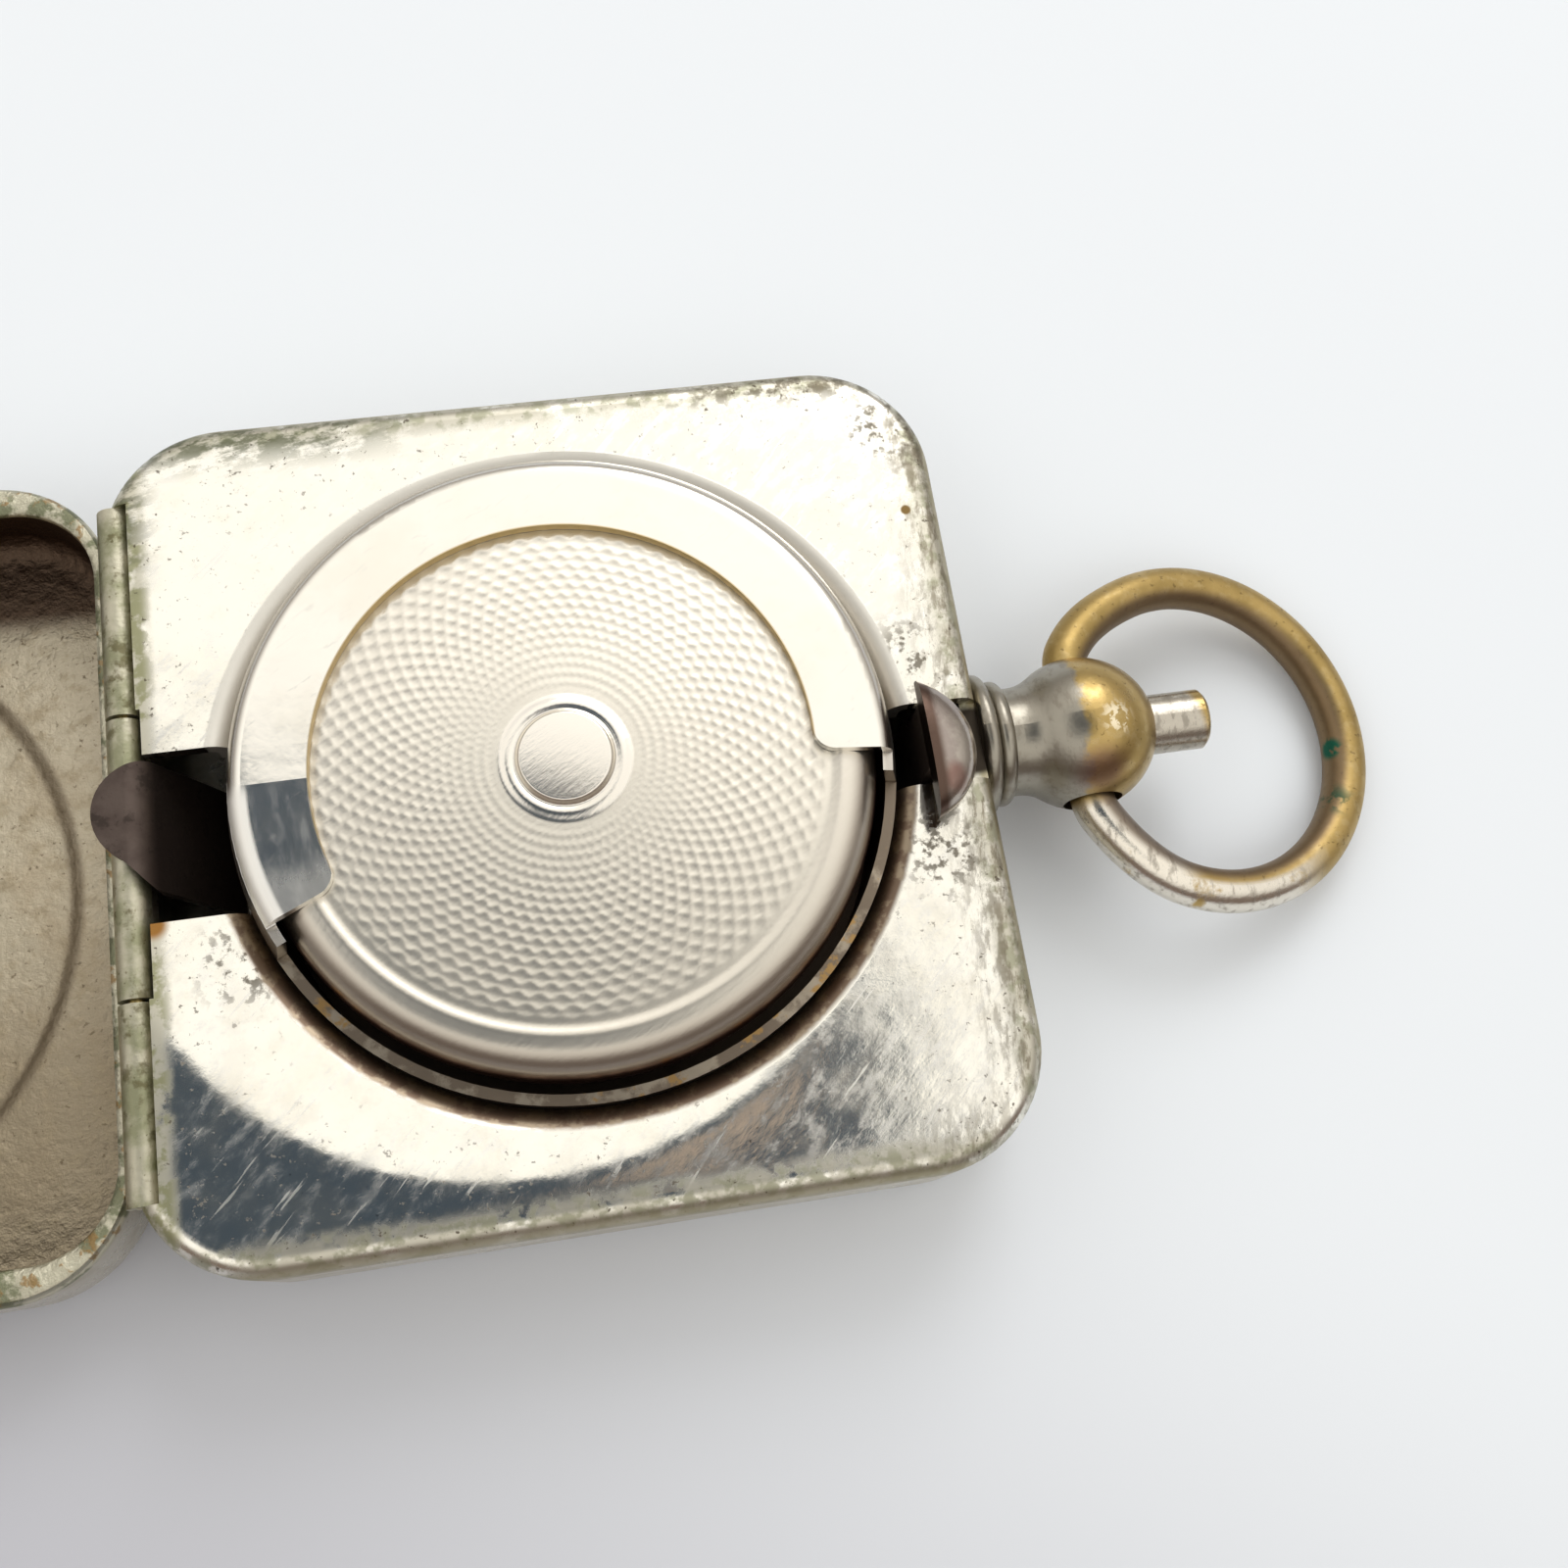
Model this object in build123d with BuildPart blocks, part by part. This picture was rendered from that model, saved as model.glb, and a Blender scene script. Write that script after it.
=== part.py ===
from build123d import *
from math import acos, asin, atan2, cos, degrees, hypot, radians, sin, sqrt
import os

os.makedirs("parts", exist_ok=True)

# A square sovereign case, lying open: a pocket case of nickel-plated brass for a short stack of coins.
# Millimetres.  The origin is the middle of the base's underside, +X points to the pendant, +Z up.
# The hinge runs along Y at the -X side, and the lid lies opened flat beyond it.

# ---- case ----
case_margin = 3.8            # X, beyond the cup on either side, before the cup is set off the middle
case_width = 32.0            # Y
corner_radius = 4.6          # corners seen from above
metal = 0.6                  # sheet of base, top plate and lid
base_height = 6.8            # underside to the face of the top plate
plate_skirt = 1.4            # turned-down edge of the top plate
edge_round = 0.8             # top outer edge of the plate
foot_round = 1.6             # bottom outer edge of base and lid

# ---- coin cup and its turned-in lip ----
cup_x = 0.26                 # the cup sits a little off the middle of the case
cup_y = 0.33
cup_radius = 12.2            # outside, below the plate
cup_draft = 0.32             # the wall leans in by this from plate to lip
cup_metal = 0.4
cup_lift = 0.6               # room under the cup for the spring feet
cup_foot_round = 0.8
lip_rise = 2.0               # lip above the plate: one coin and its play
lip_reach = 2.9              # from the wall in to the lip's inner edge
lip_round = 0.6
lip_start = -6.0             # the lip's ends, in degrees from +X
lip_end = 204.0
lip_corner = 0.8
wall_step = 3.5              # degrees by which the wall below runs past each end of the lip
hole_roll = 0.9              # rolled edge of the plate around the cup

# ---- coin platform and its spring ----
platform_fit = 0.6           # radial, between platform and cup
platform_metal = 0.35
platform_play = 0.05         # under the lip
platform_skirt = 1.9
bead_inset = 1.2             # from the platform's edge
bead_half_width = 0.3
bead_rise = 0.15
shoulder_drop = 0.7
shoulder_curve = 1.4
boss_radius = 1.75
boss_rise = 0.32
boss_ring_radius = 2.35
boss_ring_rise = 0.14
spring_wire = 0.32           # radius of the wire
spring_foot_inset = 2.6      # from the outside of the cup
spring_head_radius = 5.4
spring_turns = 3.5
spring_steps = 16            # straight lengths in one turn
spring_play = 0.05

# ---- hinge ----
knuckle_radius = 0.65
pin_radius = 0.3
pin_fit = 0.03               # radial, where a knuckle turns on the pin
hinge_inset = 0.4            # axis inside the case's side
hinge_drop = 0.9             # axis below the face of the plate
lid_knuckle_length = 10.4
lid_knuckle_y = -0.7
hinge_margin = 3.0           # from the ends of the hinge to the case's sides
knuckle_gap = 0.15
hinge_clearance = 0.15
leaf_thickness = 0.35
leaf_drop = 2.5

# ---- lid ----
lid_narrowing = 1.2          # the lid is narrower than the case
lid_y = -0.1
lid_metal = 0.55
lid_gap = 0.2                # between the sides of base and lid when opened flat
shut_gap = 0.1               # between rim and plate when shut
lid_corner_radius = 4.4
hem_width = 1.2              # folded edge, on the three free sides
hem_height = 0.45
dome_margin = 2.5            # pressed circle in the lid's face, from the nearer sides
dome_rise = 0.3
dome_slope = 0.35
catch_plate_width = 6.6
catch_plate_depth = 0.75
catch_plate_thickness = 0.35

# ---- fly spring, the tongue that throws the lid open ----
fly_thickness = 0.3
fly_width = 4.8
fly_y = 0.3
fly_root_inset = 2.8         # from the hinge axis
fly_root_rise = 0.4          # above the floor of the base
fly_overhang = 0.95          # tip beyond the hinge axis
fly_clearance = 0.2
fly_wrap = 80.0              # degrees from +X where the tongue leaves the knuckle
fly_tip_radius = 2.0
fly_tip_turn = 60.0          # of the tip on its -Y side, before the edge runs straight
fly_taper = 1.0              # full width from here inwards, measured from the hinge axis
fly_foot_length = 6.6
fly_foot_gap = 0.1
fly_slot_width = 6.3
fly_slot_y = -0.25
fly_rivet_spots = (0.4, 0.8)  # as shares of the foot's length
rivet_radius = 0.5
rivet_head_radius = 0.9
rivet_head_height = 0.25
rivet_seat = 0.35            # depth of a rivet in the floor

# ---- pendant, push pin and bow ----
pendant_y = 0.2
pendant_drop = 3.0           # axis below the face of the plate
collar_radius = 2.85
collar_length = 1.4
collar_flange = 0.7          # length of the wider of its two rings
spigot_radius = 1.9
neck_radius = 2.15
neck_curve = 1.6
ball_radius = 3.05
ball_reach = 4.53            # ball's middle from the case's side
ball_face = 2.72             # flat end of the ball from its middle
push_pin_radius = 1.2
push_pin_fit = 0.05
push_pin_stand = 2.4         # beyond the ball's face
push_pin_chamfer = 0.15
stop_radius = 1.7
stop_groove = 0.2
stop_length = 0.6
stop_play = 0.1
stop_slit = 0.4
bow_wire = 0.875             # radius of the wire
bow_radius = 6.65            # middle of the wire
bow_shoulder = 1.5           # small bend where each leg turns into the ball
bow_entry = 2.7              # where that bend starts, from the middle of the ball
bow_end = 1.75               # end of each leg, from the middle of the ball
bow_fit = 0.1
bow_worn_fit = 0.3           # the worn hole, on the -Y side
bow_ground = 0.02

# ---- catch ----
lock_inset = 2.4             # middle of the leaf, from the case's side
lock_thickness = 0.35
lock_play = 0.05             # from the push pin, and over the floor
lock_eye_radius = 1.4
lock_eye_thickness = 0.35
lock_rivet_offset = 1.2      # from the leaf
lock_rivet_margin = 4.0      # from the case's front side
lock_rivet_radius = 0.6
lock_rivet_head_radius = 1.0
lock_root_height = 1.6
lock_arm_height = 4.6
stem_width = 2.5
stem_shoulder = 0.6          # height over which the arm narrows into the stem
stem_y = -0.35
nose_y = -0.9
nose_width = 5.3
nose_depth = 1.875
nose_height = 1.1
nose_round = 1.0
nose_lift = 1.0              # underside of the nose above the plate
catch_slot_width = 3.2
catch_slot_y = -0.3
slot_sill = 0.6              # height of the skirt left under the open end of the catch slot

# ---- places worked out from these ----
case_length = 2 * (cup_radius + case_margin)     # X, without hinge and pendant
lid_width = case_width - lid_narrowing
cup_top_radius = cup_radius - cup_draft
lip_radius = cup_top_radius - lip_reach
platform_radius = cup_radius - cup_metal - platform_fit
bead_radius = platform_radius - bead_inset
spring_foot_radius = cup_radius - spring_foot_inset
half_length = case_length / 2
half_width = case_width / 2
seam_z = base_height - plate_skirt
hinge_x = -half_length + hinge_inset
hinge_z = base_height - hinge_drop
cup_floor_z = metal + cup_lift
lip_z = base_height + lip_rise
bead_z = lip_z - cup_metal - platform_play
platform_z = bead_z - bead_rise
pendant_z = base_height - pendant_drop
ball_x = half_length + ball_reach
lid_side_x = -half_length - lid_gap              # hinge side of the lid, opened flat
lid_height = 2 * hinge_z - base_height - shut_gap
lid_end_x = 2 * hinge_x - half_length            # free side, level with the case when shut
lid_length = lid_side_x - lid_end_x
lid_x = (lid_side_x + lid_end_x) / 2
lid_knuckle_back = lid_knuckle_y + lid_knuckle_length / 2
lid_knuckle_front = lid_knuckle_y - lid_knuckle_length / 2
hinge_back = half_width - hinge_margin
hinge_front = -half_width + hinge_margin
fly_root_x = hinge_x + fly_root_inset
lock_x = half_length - lock_inset
lock_rivet_x = lock_x - lock_rivet_offset
lock_rivet_y = -half_width + lock_rivet_margin
lock_face_x = lock_x + lock_thickness / 2
push_pin_inner_x = lock_face_x + lock_play
push_pin_outer_x = ball_x + ball_face + push_pin_stand
wall_inner_x = half_length - metal
dome_radius = min(lid_length, lid_width) / 2 - dome_margin
dome_taper = degrees(atan2(dome_slope, dome_rise))
fly_rivets = [(fly_root_x + fly_foot_length * share, fly_y) for share in fly_rivet_spots]

cup_axis = Axis((cup_x, cup_y, 0), (0, 0, 1))
pendant_axis = Axis((0, pendant_y, pendant_z), (1, 0, 0))
cup_profile_plane = Plane(origin=(cup_x, cup_y, 0), x_dir=(1, 0, 0), z_dir=(0, -1, 0))
pendant_profile_plane = Plane(origin=(0, pendant_y, pendant_z), x_dir=(1, 0, 0), z_dir=(0, -1, 0))


def across(y):
    """The plane square to Y at y: sketched in X and Z, and extruded towards -Y."""
    return Plane(origin=(0, y, 0), x_dir=(1, 0, 0), z_dir=(0, -1, 0))


def polar(radius, angle):
    """A point on a circle, from its middle."""
    return (radius * cos(radians(angle)), radius * sin(radians(angle)))


def span(low_x, high_x, low_y, high_y):
    """A rectangle in a sketch, from its sides."""
    with Locations(((low_x + high_x) / 2, (low_y + high_y) / 2)):
        return Rectangle(high_x - low_x, high_y - low_y)


# ---- base shell: a drawn tray with a hinge wall, seats for the knuckles and the hole for the pendant ----
with BuildPart() as base_shell:
    with BuildSketch():
        RectangleRounded(case_length, case_width, corner_radius)
    extrude(amount=seam_z)
    fillet(base_shell.faces().sort_by(Axis.Z)[0].edges(), foot_round)
    offset(amount=-metal, openings=base_shell.faces().sort_by(Axis.Z)[-1])
    with BuildSketch(Plane.XY.offset(seam_z)):
        span(-half_length, -half_length + metal, hinge_front, hinge_back)
    extrude(amount=hinge_z - seam_z)
    with BuildSketch(across(hinge_back)):
        with Locations((hinge_x, hinge_z)):
            Circle(knuckle_radius)
    extrude(amount=hinge_back - hinge_front, mode=Mode.SUBTRACT)
    with BuildSketch(across(lid_knuckle_back + knuckle_gap)):
        span(
            -half_length - metal,
            -half_length + 2 * metal,
            hinge_z - leaf_drop - hinge_clearance,
            base_height,
        )
    extrude(amount=lid_knuckle_length + 2 * knuckle_gap, mode=Mode.SUBTRACT)
    with BuildSketch(Plane.YZ.offset(half_length - 2 * metal)):
        with Locations((pendant_y, pendant_z)):
            Circle(spigot_radius)
    extrude(amount=3 * metal, mode=Mode.SUBTRACT)
    with BuildSketch(Plane.XY.offset(metal)):
        with Locations((lock_rivet_x, lock_rivet_y)):
            Circle(lock_rivet_radius)
        with Locations(*fly_rivets):
            Circle(rivet_radius)
    extrude(amount=-rivet_seat, mode=Mode.SUBTRACT)
base_shell.part.label = "base_shell"
export_step(base_shell.part, "parts/base_shell.step")

# ---- top plate: covers the tray, rolled down around the cup, slotted for the fly spring and the catch ----
with BuildPart() as top_plate:
    with BuildSketch(Plane.XY.offset(seam_z)):
        RectangleRounded(case_length, case_width, corner_radius)
    extrude(amount=plate_skirt)
    fillet(top_plate.faces().sort_by(Axis.Z)[-1].edges(), edge_round)
    offset(amount=-metal, openings=top_plate.faces().sort_by(Axis.Z)[0])
    with BuildSketch(Plane.XY.offset(seam_z)):
        with Locations((cup_x, cup_y)):
            Circle(cup_radius + hole_roll)
    extrude(amount=plate_skirt, mode=Mode.SUBTRACT)
    with BuildSketch(cup_profile_plane):
        with BuildLine():
            roll_middle = (cup_radius + hole_roll, base_height - hole_roll)
            outside = CenterArc(roll_middle, hole_roll, 90, 90)
            inside = CenterArc(roll_middle, hole_roll - metal, 90, 90)
            Polyline(outside @ 1, (cup_radius, seam_z), (cup_radius + metal, seam_z), inside @ 1)
            Line(inside @ 0, outside @ 0)
        make_face()
    revolve(axis=cup_axis)
    with BuildSketch(Plane.XY.offset(seam_z)):
        span(-case_length, hinge_x + knuckle_radius, hinge_front, hinge_back)
        span(-case_length, hinge_x + knuckle_radius + hinge_clearance,
             lid_knuckle_front - knuckle_gap, lid_knuckle_back + knuckle_gap)
        span(-half_length, cup_x, fly_slot_y - fly_slot_width / 2, fly_slot_y + fly_slot_width / 2)
        span(cup_x, wall_inner_x, catch_slot_y - catch_slot_width / 2, catch_slot_y + catch_slot_width / 2)
    extrude(amount=plate_skirt, mode=Mode.SUBTRACT)
    with BuildSketch(Plane.YZ.offset(half_length - 2 * metal)):
        with Locations((pendant_y, pendant_z)):
            Circle(spigot_radius)
    extrude(amount=3 * metal, mode=Mode.SUBTRACT)
    with BuildSketch(Plane.XY.offset(base_height)):
        span(wall_inner_x - metal, case_length,
             catch_slot_y - catch_slot_width / 2, catch_slot_y + catch_slot_width / 2)
    extrude(amount=slot_sill - plate_skirt, mode=Mode.SUBTRACT)
top_plate.part.label = "top_plate"
export_step(top_plate.part, "parts/top_plate.step")

# ---- coin cup: a drawn drum whose top turns in as a C-shaped lip, cut low in front to let a coin out ----
mouth_reach = 1.5 * cup_radius
mouth_angle = 360 + lip_start - lip_end
lip_ends = [polar(lip_radius, angle) for angle in (lip_start, lip_end)]
with BuildPart() as coin_cup:
    with BuildSketch(cup_profile_plane):
        with BuildLine():
            floor_line = Line((0, cup_floor_z), (cup_radius - cup_foot_round, cup_floor_z))
            foot_arc = CenterArc(
                (cup_radius - cup_foot_round, cup_floor_z + cup_foot_round), cup_foot_round, -90, 90
            )
            lip_arc = CenterArc((cup_top_radius - lip_round, lip_z - lip_round), lip_round, 0, 90)
            Polyline(foot_arc @ 1, (cup_radius, base_height), lip_arc @ 0)
            Polyline(
                lip_arc @ 1,
                (0, lip_z),
                (0, lip_z - cup_metal),
                (cup_top_radius - cup_metal, lip_z - cup_metal),
                (cup_radius - cup_metal, base_height),
                (cup_radius - cup_metal, cup_floor_z + cup_metal),
                (0, cup_floor_z + cup_metal),
                (0, cup_floor_z),
            )
        make_face()
    revolve(axis=cup_axis)
    with BuildSketch(Plane((cup_x, cup_y, lip_z - 1.5 * cup_metal))) as mouth:
        with BuildLine():
            front = CenterArc((0, 0), mouth_reach, lip_end, mouth_angle)
            Polyline(front @ 1, (0, 0), front @ 0)
        make_face()
        Circle(lip_radius)
        fillet([mouth.vertices().sort_by_distance(end)[0] for end in lip_ends], lip_corner)
    extrude(amount=2 * cup_metal, mode=Mode.SUBTRACT)
    with BuildSketch(Plane((cup_x, cup_y, base_height))):
        with BuildLine():
            front = CenterArc((0, 0), mouth_reach, lip_end + wall_step, mouth_angle - 2 * wall_step)
            Polyline(front @ 1, (0, 0), front @ 0)
        make_face()
    extrude(amount=lip_rise, mode=Mode.SUBTRACT)
coin_cup.part.label = "coin_cup"
export_step(coin_cup.part, "parts/coin_cup.step")

# ---- coin platform: a pressed pan with a centre boss, a bead and a sloping shoulder ----
with BuildPart() as coin_platform:
    with BuildSketch(cup_profile_plane):
        with BuildLine():
            bead = ThreePointArc(
                (bead_radius - bead_half_width, platform_z),
                (bead_radius, bead_z),
                (bead_radius + bead_half_width, platform_z),
            )
            Polyline(
                (0, platform_z - platform_metal),
                (0, platform_z + boss_rise),
                (boss_radius - boss_rise + boss_ring_rise, platform_z + boss_rise),
                (boss_radius, platform_z + boss_ring_rise),
                (boss_ring_radius - boss_ring_rise, platform_z + boss_ring_rise),
                (boss_ring_radius, platform_z),
                bead @ 0,
            )
            shoulder = RadiusArc(bead @ 1, (platform_radius, platform_z - shoulder_drop), shoulder_curve)
            Polyline(
                shoulder @ 1,
                (platform_radius, platform_z - platform_skirt),
                (platform_radius - platform_metal, platform_z - platform_skirt),
                (platform_radius - platform_metal, platform_z - shoulder_drop),
                (bead_radius, platform_z - platform_metal),
                (0, platform_z - platform_metal),
            )
        make_face()
    revolve(axis=cup_axis)
coin_platform.part.label = "coin_platform"
export_step(coin_platform.part, "parts/coin_platform.step")

# ---- platform spring: a cone of wire between the cup's floor and the platform ----
spring_low_z = cup_floor_z + cup_metal + spring_wire + spring_play
spring_high_z = platform_z - platform_metal - spring_wire - spring_play
spring_height = spring_high_z - spring_low_z
spring_lengths = round(spring_turns * spring_steps)
spring_points = []
for length in range(spring_lengths + 1):
    share = length / spring_lengths
    coil_radius = spring_foot_radius + (spring_head_radius - spring_foot_radius) * share
    x, y = polar(coil_radius, 360 * spring_turns * share)
    spring_points.append((cup_x + x, cup_y + y, spring_low_z + spring_height * share))
with BuildPart() as platform_spring:
    with BuildLine():
        coil = Polyline(*spring_points)
    with BuildSketch(Plane(origin=coil @ 0, z_dir=coil % 0)):
        Circle(spring_wire)
    sweep(transition=Transition.RIGHT)
platform_spring.part.label = "platform_spring"
export_step(platform_spring.part, "parts/platform_spring.step")

# ---- hinge: two knuckles on the base, one with a leaf on the lid, and the pin through all three ----
with BuildPart() as hinge_knuckle_back:
    with BuildSketch(across(hinge_back)):
        with Locations((hinge_x, hinge_z)):
            Circle(knuckle_radius)
            Circle(pin_radius, mode=Mode.SUBTRACT)
    extrude(amount=hinge_back - lid_knuckle_back - knuckle_gap)
hinge_knuckle_back.part.label = "hinge_knuckle_back"
export_step(hinge_knuckle_back.part, "parts/hinge_knuckle_back.step")

with BuildPart() as hinge_knuckle_front:
    with BuildSketch(across(lid_knuckle_front - knuckle_gap)):
        with Locations((hinge_x, hinge_z)):
            Circle(knuckle_radius)
            Circle(pin_radius, mode=Mode.SUBTRACT)
    extrude(amount=lid_knuckle_front - knuckle_gap - hinge_front)
hinge_knuckle_front.part.label = "hinge_knuckle_front"
export_step(hinge_knuckle_front.part, "parts/hinge_knuckle_front.step")

with BuildPart() as lid_knuckle:
    with BuildSketch(across(lid_knuckle_back)):
        with Locations((hinge_x, hinge_z)):
            Circle(knuckle_radius)
        span(lid_side_x, lid_side_x + leaf_thickness, hinge_z - leaf_drop, hinge_z)
        with Locations((hinge_x, hinge_z)):
            Circle(pin_radius + pin_fit, mode=Mode.SUBTRACT)
    extrude(amount=lid_knuckle_length)
lid_knuckle.part.label = "lid_knuckle"
export_step(lid_knuckle.part, "parts/lid_knuckle.step")

with BuildPart() as hinge_pin:
    with BuildSketch(across(hinge_back)):
        with Locations((hinge_x, hinge_z)):
            Circle(pin_radius)
    extrude(amount=hinge_back - hinge_front)
hinge_pin.part.label = "hinge_pin"
export_step(hinge_pin.part, "parts/hinge_pin.step")

# ---- lid: a drawn tray with a pressed circle, hemmed on its three free sides ----
with BuildPart() as lid_shell:
    with BuildSketch(Plane((lid_x, lid_y, dome_rise))):
        RectangleRounded(lid_length, lid_width, lid_corner_radius)
    extrude(amount=lid_height - dome_rise)
    fillet(lid_shell.faces().sort_by(Axis.Z)[0].edges(), foot_round)
    offset(amount=-lid_metal, openings=lid_shell.faces().sort_by(Axis.Z)[-1])
    with BuildSketch(Plane((lid_x, lid_y, lid_height - hem_height))):
        RectangleRounded(lid_length, lid_width, lid_corner_radius)
        with Locations(((hem_width - lid_metal / 2) / 2, 0)):
            RectangleRounded(
                lid_length - hem_width - lid_metal / 2,
                lid_width - 2 * hem_width,
                lid_corner_radius - hem_width,
                mode=Mode.SUBTRACT,
            )
    extrude(amount=hem_height)
    with BuildSketch(Plane((lid_x, lid_y, dome_rise))):
        Circle(dome_radius)
    extrude(amount=-dome_rise, taper=dome_taper)
    with BuildSketch(Plane((lid_x, lid_y, dome_rise + lid_metal))):
        Circle(dome_radius)
    extrude(amount=-dome_rise, taper=dome_taper, mode=Mode.SUBTRACT)
lid_shell.part.label = "lid_shell"
export_step(lid_shell.part, "parts/lid_shell.step")

# ---- catch plate: the strip behind the lid's hem that the nose hooks over ----
with BuildPart() as lid_catch_plate:
    with BuildSketch(Plane.XY.offset(lid_height - hem_height)):
        span(
            lid_end_x + lid_metal,
            lid_end_x + lid_metal + catch_plate_depth,
            nose_y - catch_plate_width / 2,
            nose_y + catch_plate_width / 2,
        )
    extrude(amount=-catch_plate_thickness)
lid_catch_plate.part.label = "lid_catch_plate"
export_step(lid_catch_plate.part, "parts/lid_catch_plate.step")

# ---- fly spring: a leaf that rises from the floor, wraps over the knuckle and ends in a round tip ----
fly_root = (fly_root_x, metal + fly_root_rise)
wrap_radius = knuckle_radius + fly_clearance + fly_thickness / 2
root_distance = hypot(fly_root[0] - hinge_x, fly_root[1] - hinge_z)
root_angle = degrees(atan2(fly_root[1] - hinge_z, fly_root[0] - hinge_x))
meet_angle = root_angle + degrees(acos(wrap_radius / root_distance))
fly_tip_x = hinge_x - fly_overhang
with BuildPart() as fly_spring:
    with BuildSketch(across(fly_y + fly_width / 2)):
        with BuildLine():
            wrap = CenterArc((hinge_x, hinge_z), wrap_radius, meet_angle, fly_wrap - meet_angle)
            rise = Line(fly_root, wrap @ 0)
            run_out = Line(wrap @ 1, wrap @ 1 + (wrap % 1) * ((fly_tip_x - (wrap @ 1).X) / (wrap % 1).X))
            offset(amount=fly_thickness / 2, side=Side.BOTH)
        make_face()
    extrude(amount=fly_width)
    with BuildSketch() as fly_outline:
        with BuildLine():
            tip = CenterArc(
                (fly_tip_x + fly_tip_radius, fly_y + fly_width / 2 - fly_tip_radius),
                fly_tip_radius,
                90,
                90 + fly_tip_turn,
            )
            Polyline(
                tip @ 1,
                (hinge_x + fly_taper, fly_y - fly_width / 2),
                (0, fly_y - fly_width / 2),
                (0, fly_y + fly_width / 2),
                tip @ 0,
            )
        make_face()
    extrude(amount=lip_z, mode=Mode.INTERSECT)
fly_spring.part.label = "fly_spring"
export_step(fly_spring.part, "parts/fly_spring.step")

with BuildPart() as fly_spring_foot:
    with BuildSketch(Plane.XY.offset(metal)):
        span(
            fly_root_x + fly_thickness / 2 + fly_foot_gap,
            fly_root_x + fly_foot_length,
            fly_y - fly_width / 2,
            fly_y + fly_width / 2,
        )
        with Locations(*fly_rivets):
            Circle(rivet_radius, mode=Mode.SUBTRACT)
    extrude(amount=fly_thickness)
fly_spring_foot.part.label = "fly_spring_foot"
export_step(fly_spring_foot.part, "parts/fly_spring_foot.step")

with BuildPart() as fly_spring_rivets:
    with BuildSketch(Plane.XY.offset(metal - rivet_seat)):
        with Locations(*fly_rivets):
            Circle(rivet_radius)
    extrude(amount=rivet_seat + fly_thickness)
    with BuildSketch(Plane.XY.offset(metal + fly_thickness)):
        with Locations(*fly_rivets):
            Circle(rivet_head_radius)
    extrude(amount=rivet_head_height)
fly_spring_rivets.part.label = "fly_spring_rivets"
export_step(fly_spring_rivets.part, "parts/fly_spring_rivets.step")

# ---- pendant: a turned ball on a waisted neck, bored for the push pin and cross-drilled for the bow ----
waist_x = ball_x - sqrt((neck_curve + ball_radius) ** 2 - (neck_radius + neck_curve) ** 2)
waist_turn = degrees(acos((neck_radius + neck_curve) / (neck_curve + ball_radius)))
ball_face_radius = sqrt(ball_radius**2 - ball_face**2)
ball_face_angle = degrees(acos(ball_face / ball_radius))
neck_start_x = half_length + collar_length
with BuildPart() as pendant:
    with BuildSketch(pendant_profile_plane):
        with BuildLine():
            waist = CenterArc((waist_x, neck_radius + neck_curve), neck_curve, -90, waist_turn)
            ball = CenterArc((ball_x, 0), ball_radius, 90 + waist_turn, ball_face_angle - 90 - waist_turn)
            Polyline(
                waist @ 0,
                (neck_start_x, neck_radius),
                (neck_start_x, spigot_radius),
                (wall_inner_x, spigot_radius),
                (wall_inner_x, push_pin_radius + push_pin_fit),
                (ball_x + ball_face, push_pin_radius + push_pin_fit),
                ball @ 1,
            )
        make_face()
    revolve(axis=pendant_axis)
    with BuildSketch(Plane(origin=(ball_x, pendant_y, pendant_z), x_dir=(1, 0, 0), z_dir=(0, 1, 0))):
        Circle(bow_wire + bow_fit)
    extrude(amount=ball_radius, mode=Mode.SUBTRACT)
    with BuildSketch(across(pendant_y)):
        with Locations((ball_x, pendant_z)):
            Circle(bow_wire + bow_worn_fit)
    extrude(amount=ball_radius, mode=Mode.SUBTRACT)
pendant.part.label = "pendant"
export_step(pendant.part, "parts/pendant.step")

with BuildPart() as pendant_collar:
    with BuildSketch(pendant_profile_plane):
        with BuildLine():
            flange_round = collar_flange / 2
            flange_arc = CenterArc(
                (half_length + flange_round, collar_radius - flange_round), flange_round, 0, 180
            )
            ring_length = collar_length - collar_flange
            ring_radius = collar_radius - ring_length / 2
            ring_arc = CenterArc(
                (neck_start_x - ring_length / 2, ring_radius - ring_length / 2), ring_length / 2, 0, 180
            )
            Polyline(
                flange_arc @ 1,
                (half_length, spigot_radius),
                (neck_start_x, spigot_radius),
                ring_arc @ 0,
            )
            Line(ring_arc @ 1, flange_arc @ 0)
        make_face()
    revolve(axis=pendant_axis)
pendant_collar.part.label = "pendant_collar"
export_step(pendant_collar.part, "parts/pendant_collar.step")

# ---- push pin and the split ring that keeps it in the pendant ----
stop_x = wall_inner_x - stop_play - stop_length
with BuildPart() as push_pin:
    with BuildSketch(pendant_profile_plane):
        with BuildLine():
            Polyline(
                (push_pin_inner_x, 0),
                (push_pin_inner_x, push_pin_radius),
                (stop_x, push_pin_radius),
                (stop_x, push_pin_radius - stop_groove),
                (stop_x + stop_length, push_pin_radius - stop_groove),
                (stop_x + stop_length, push_pin_radius),
                (push_pin_outer_x - push_pin_chamfer, push_pin_radius),
                (push_pin_outer_x, push_pin_radius - push_pin_chamfer),
                (push_pin_outer_x, 0),
                close=True,
            )
        make_face()
    revolve(axis=pendant_axis)
push_pin.part.label = "push_pin"
export_step(push_pin.part, "parts/push_pin.step")

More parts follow.
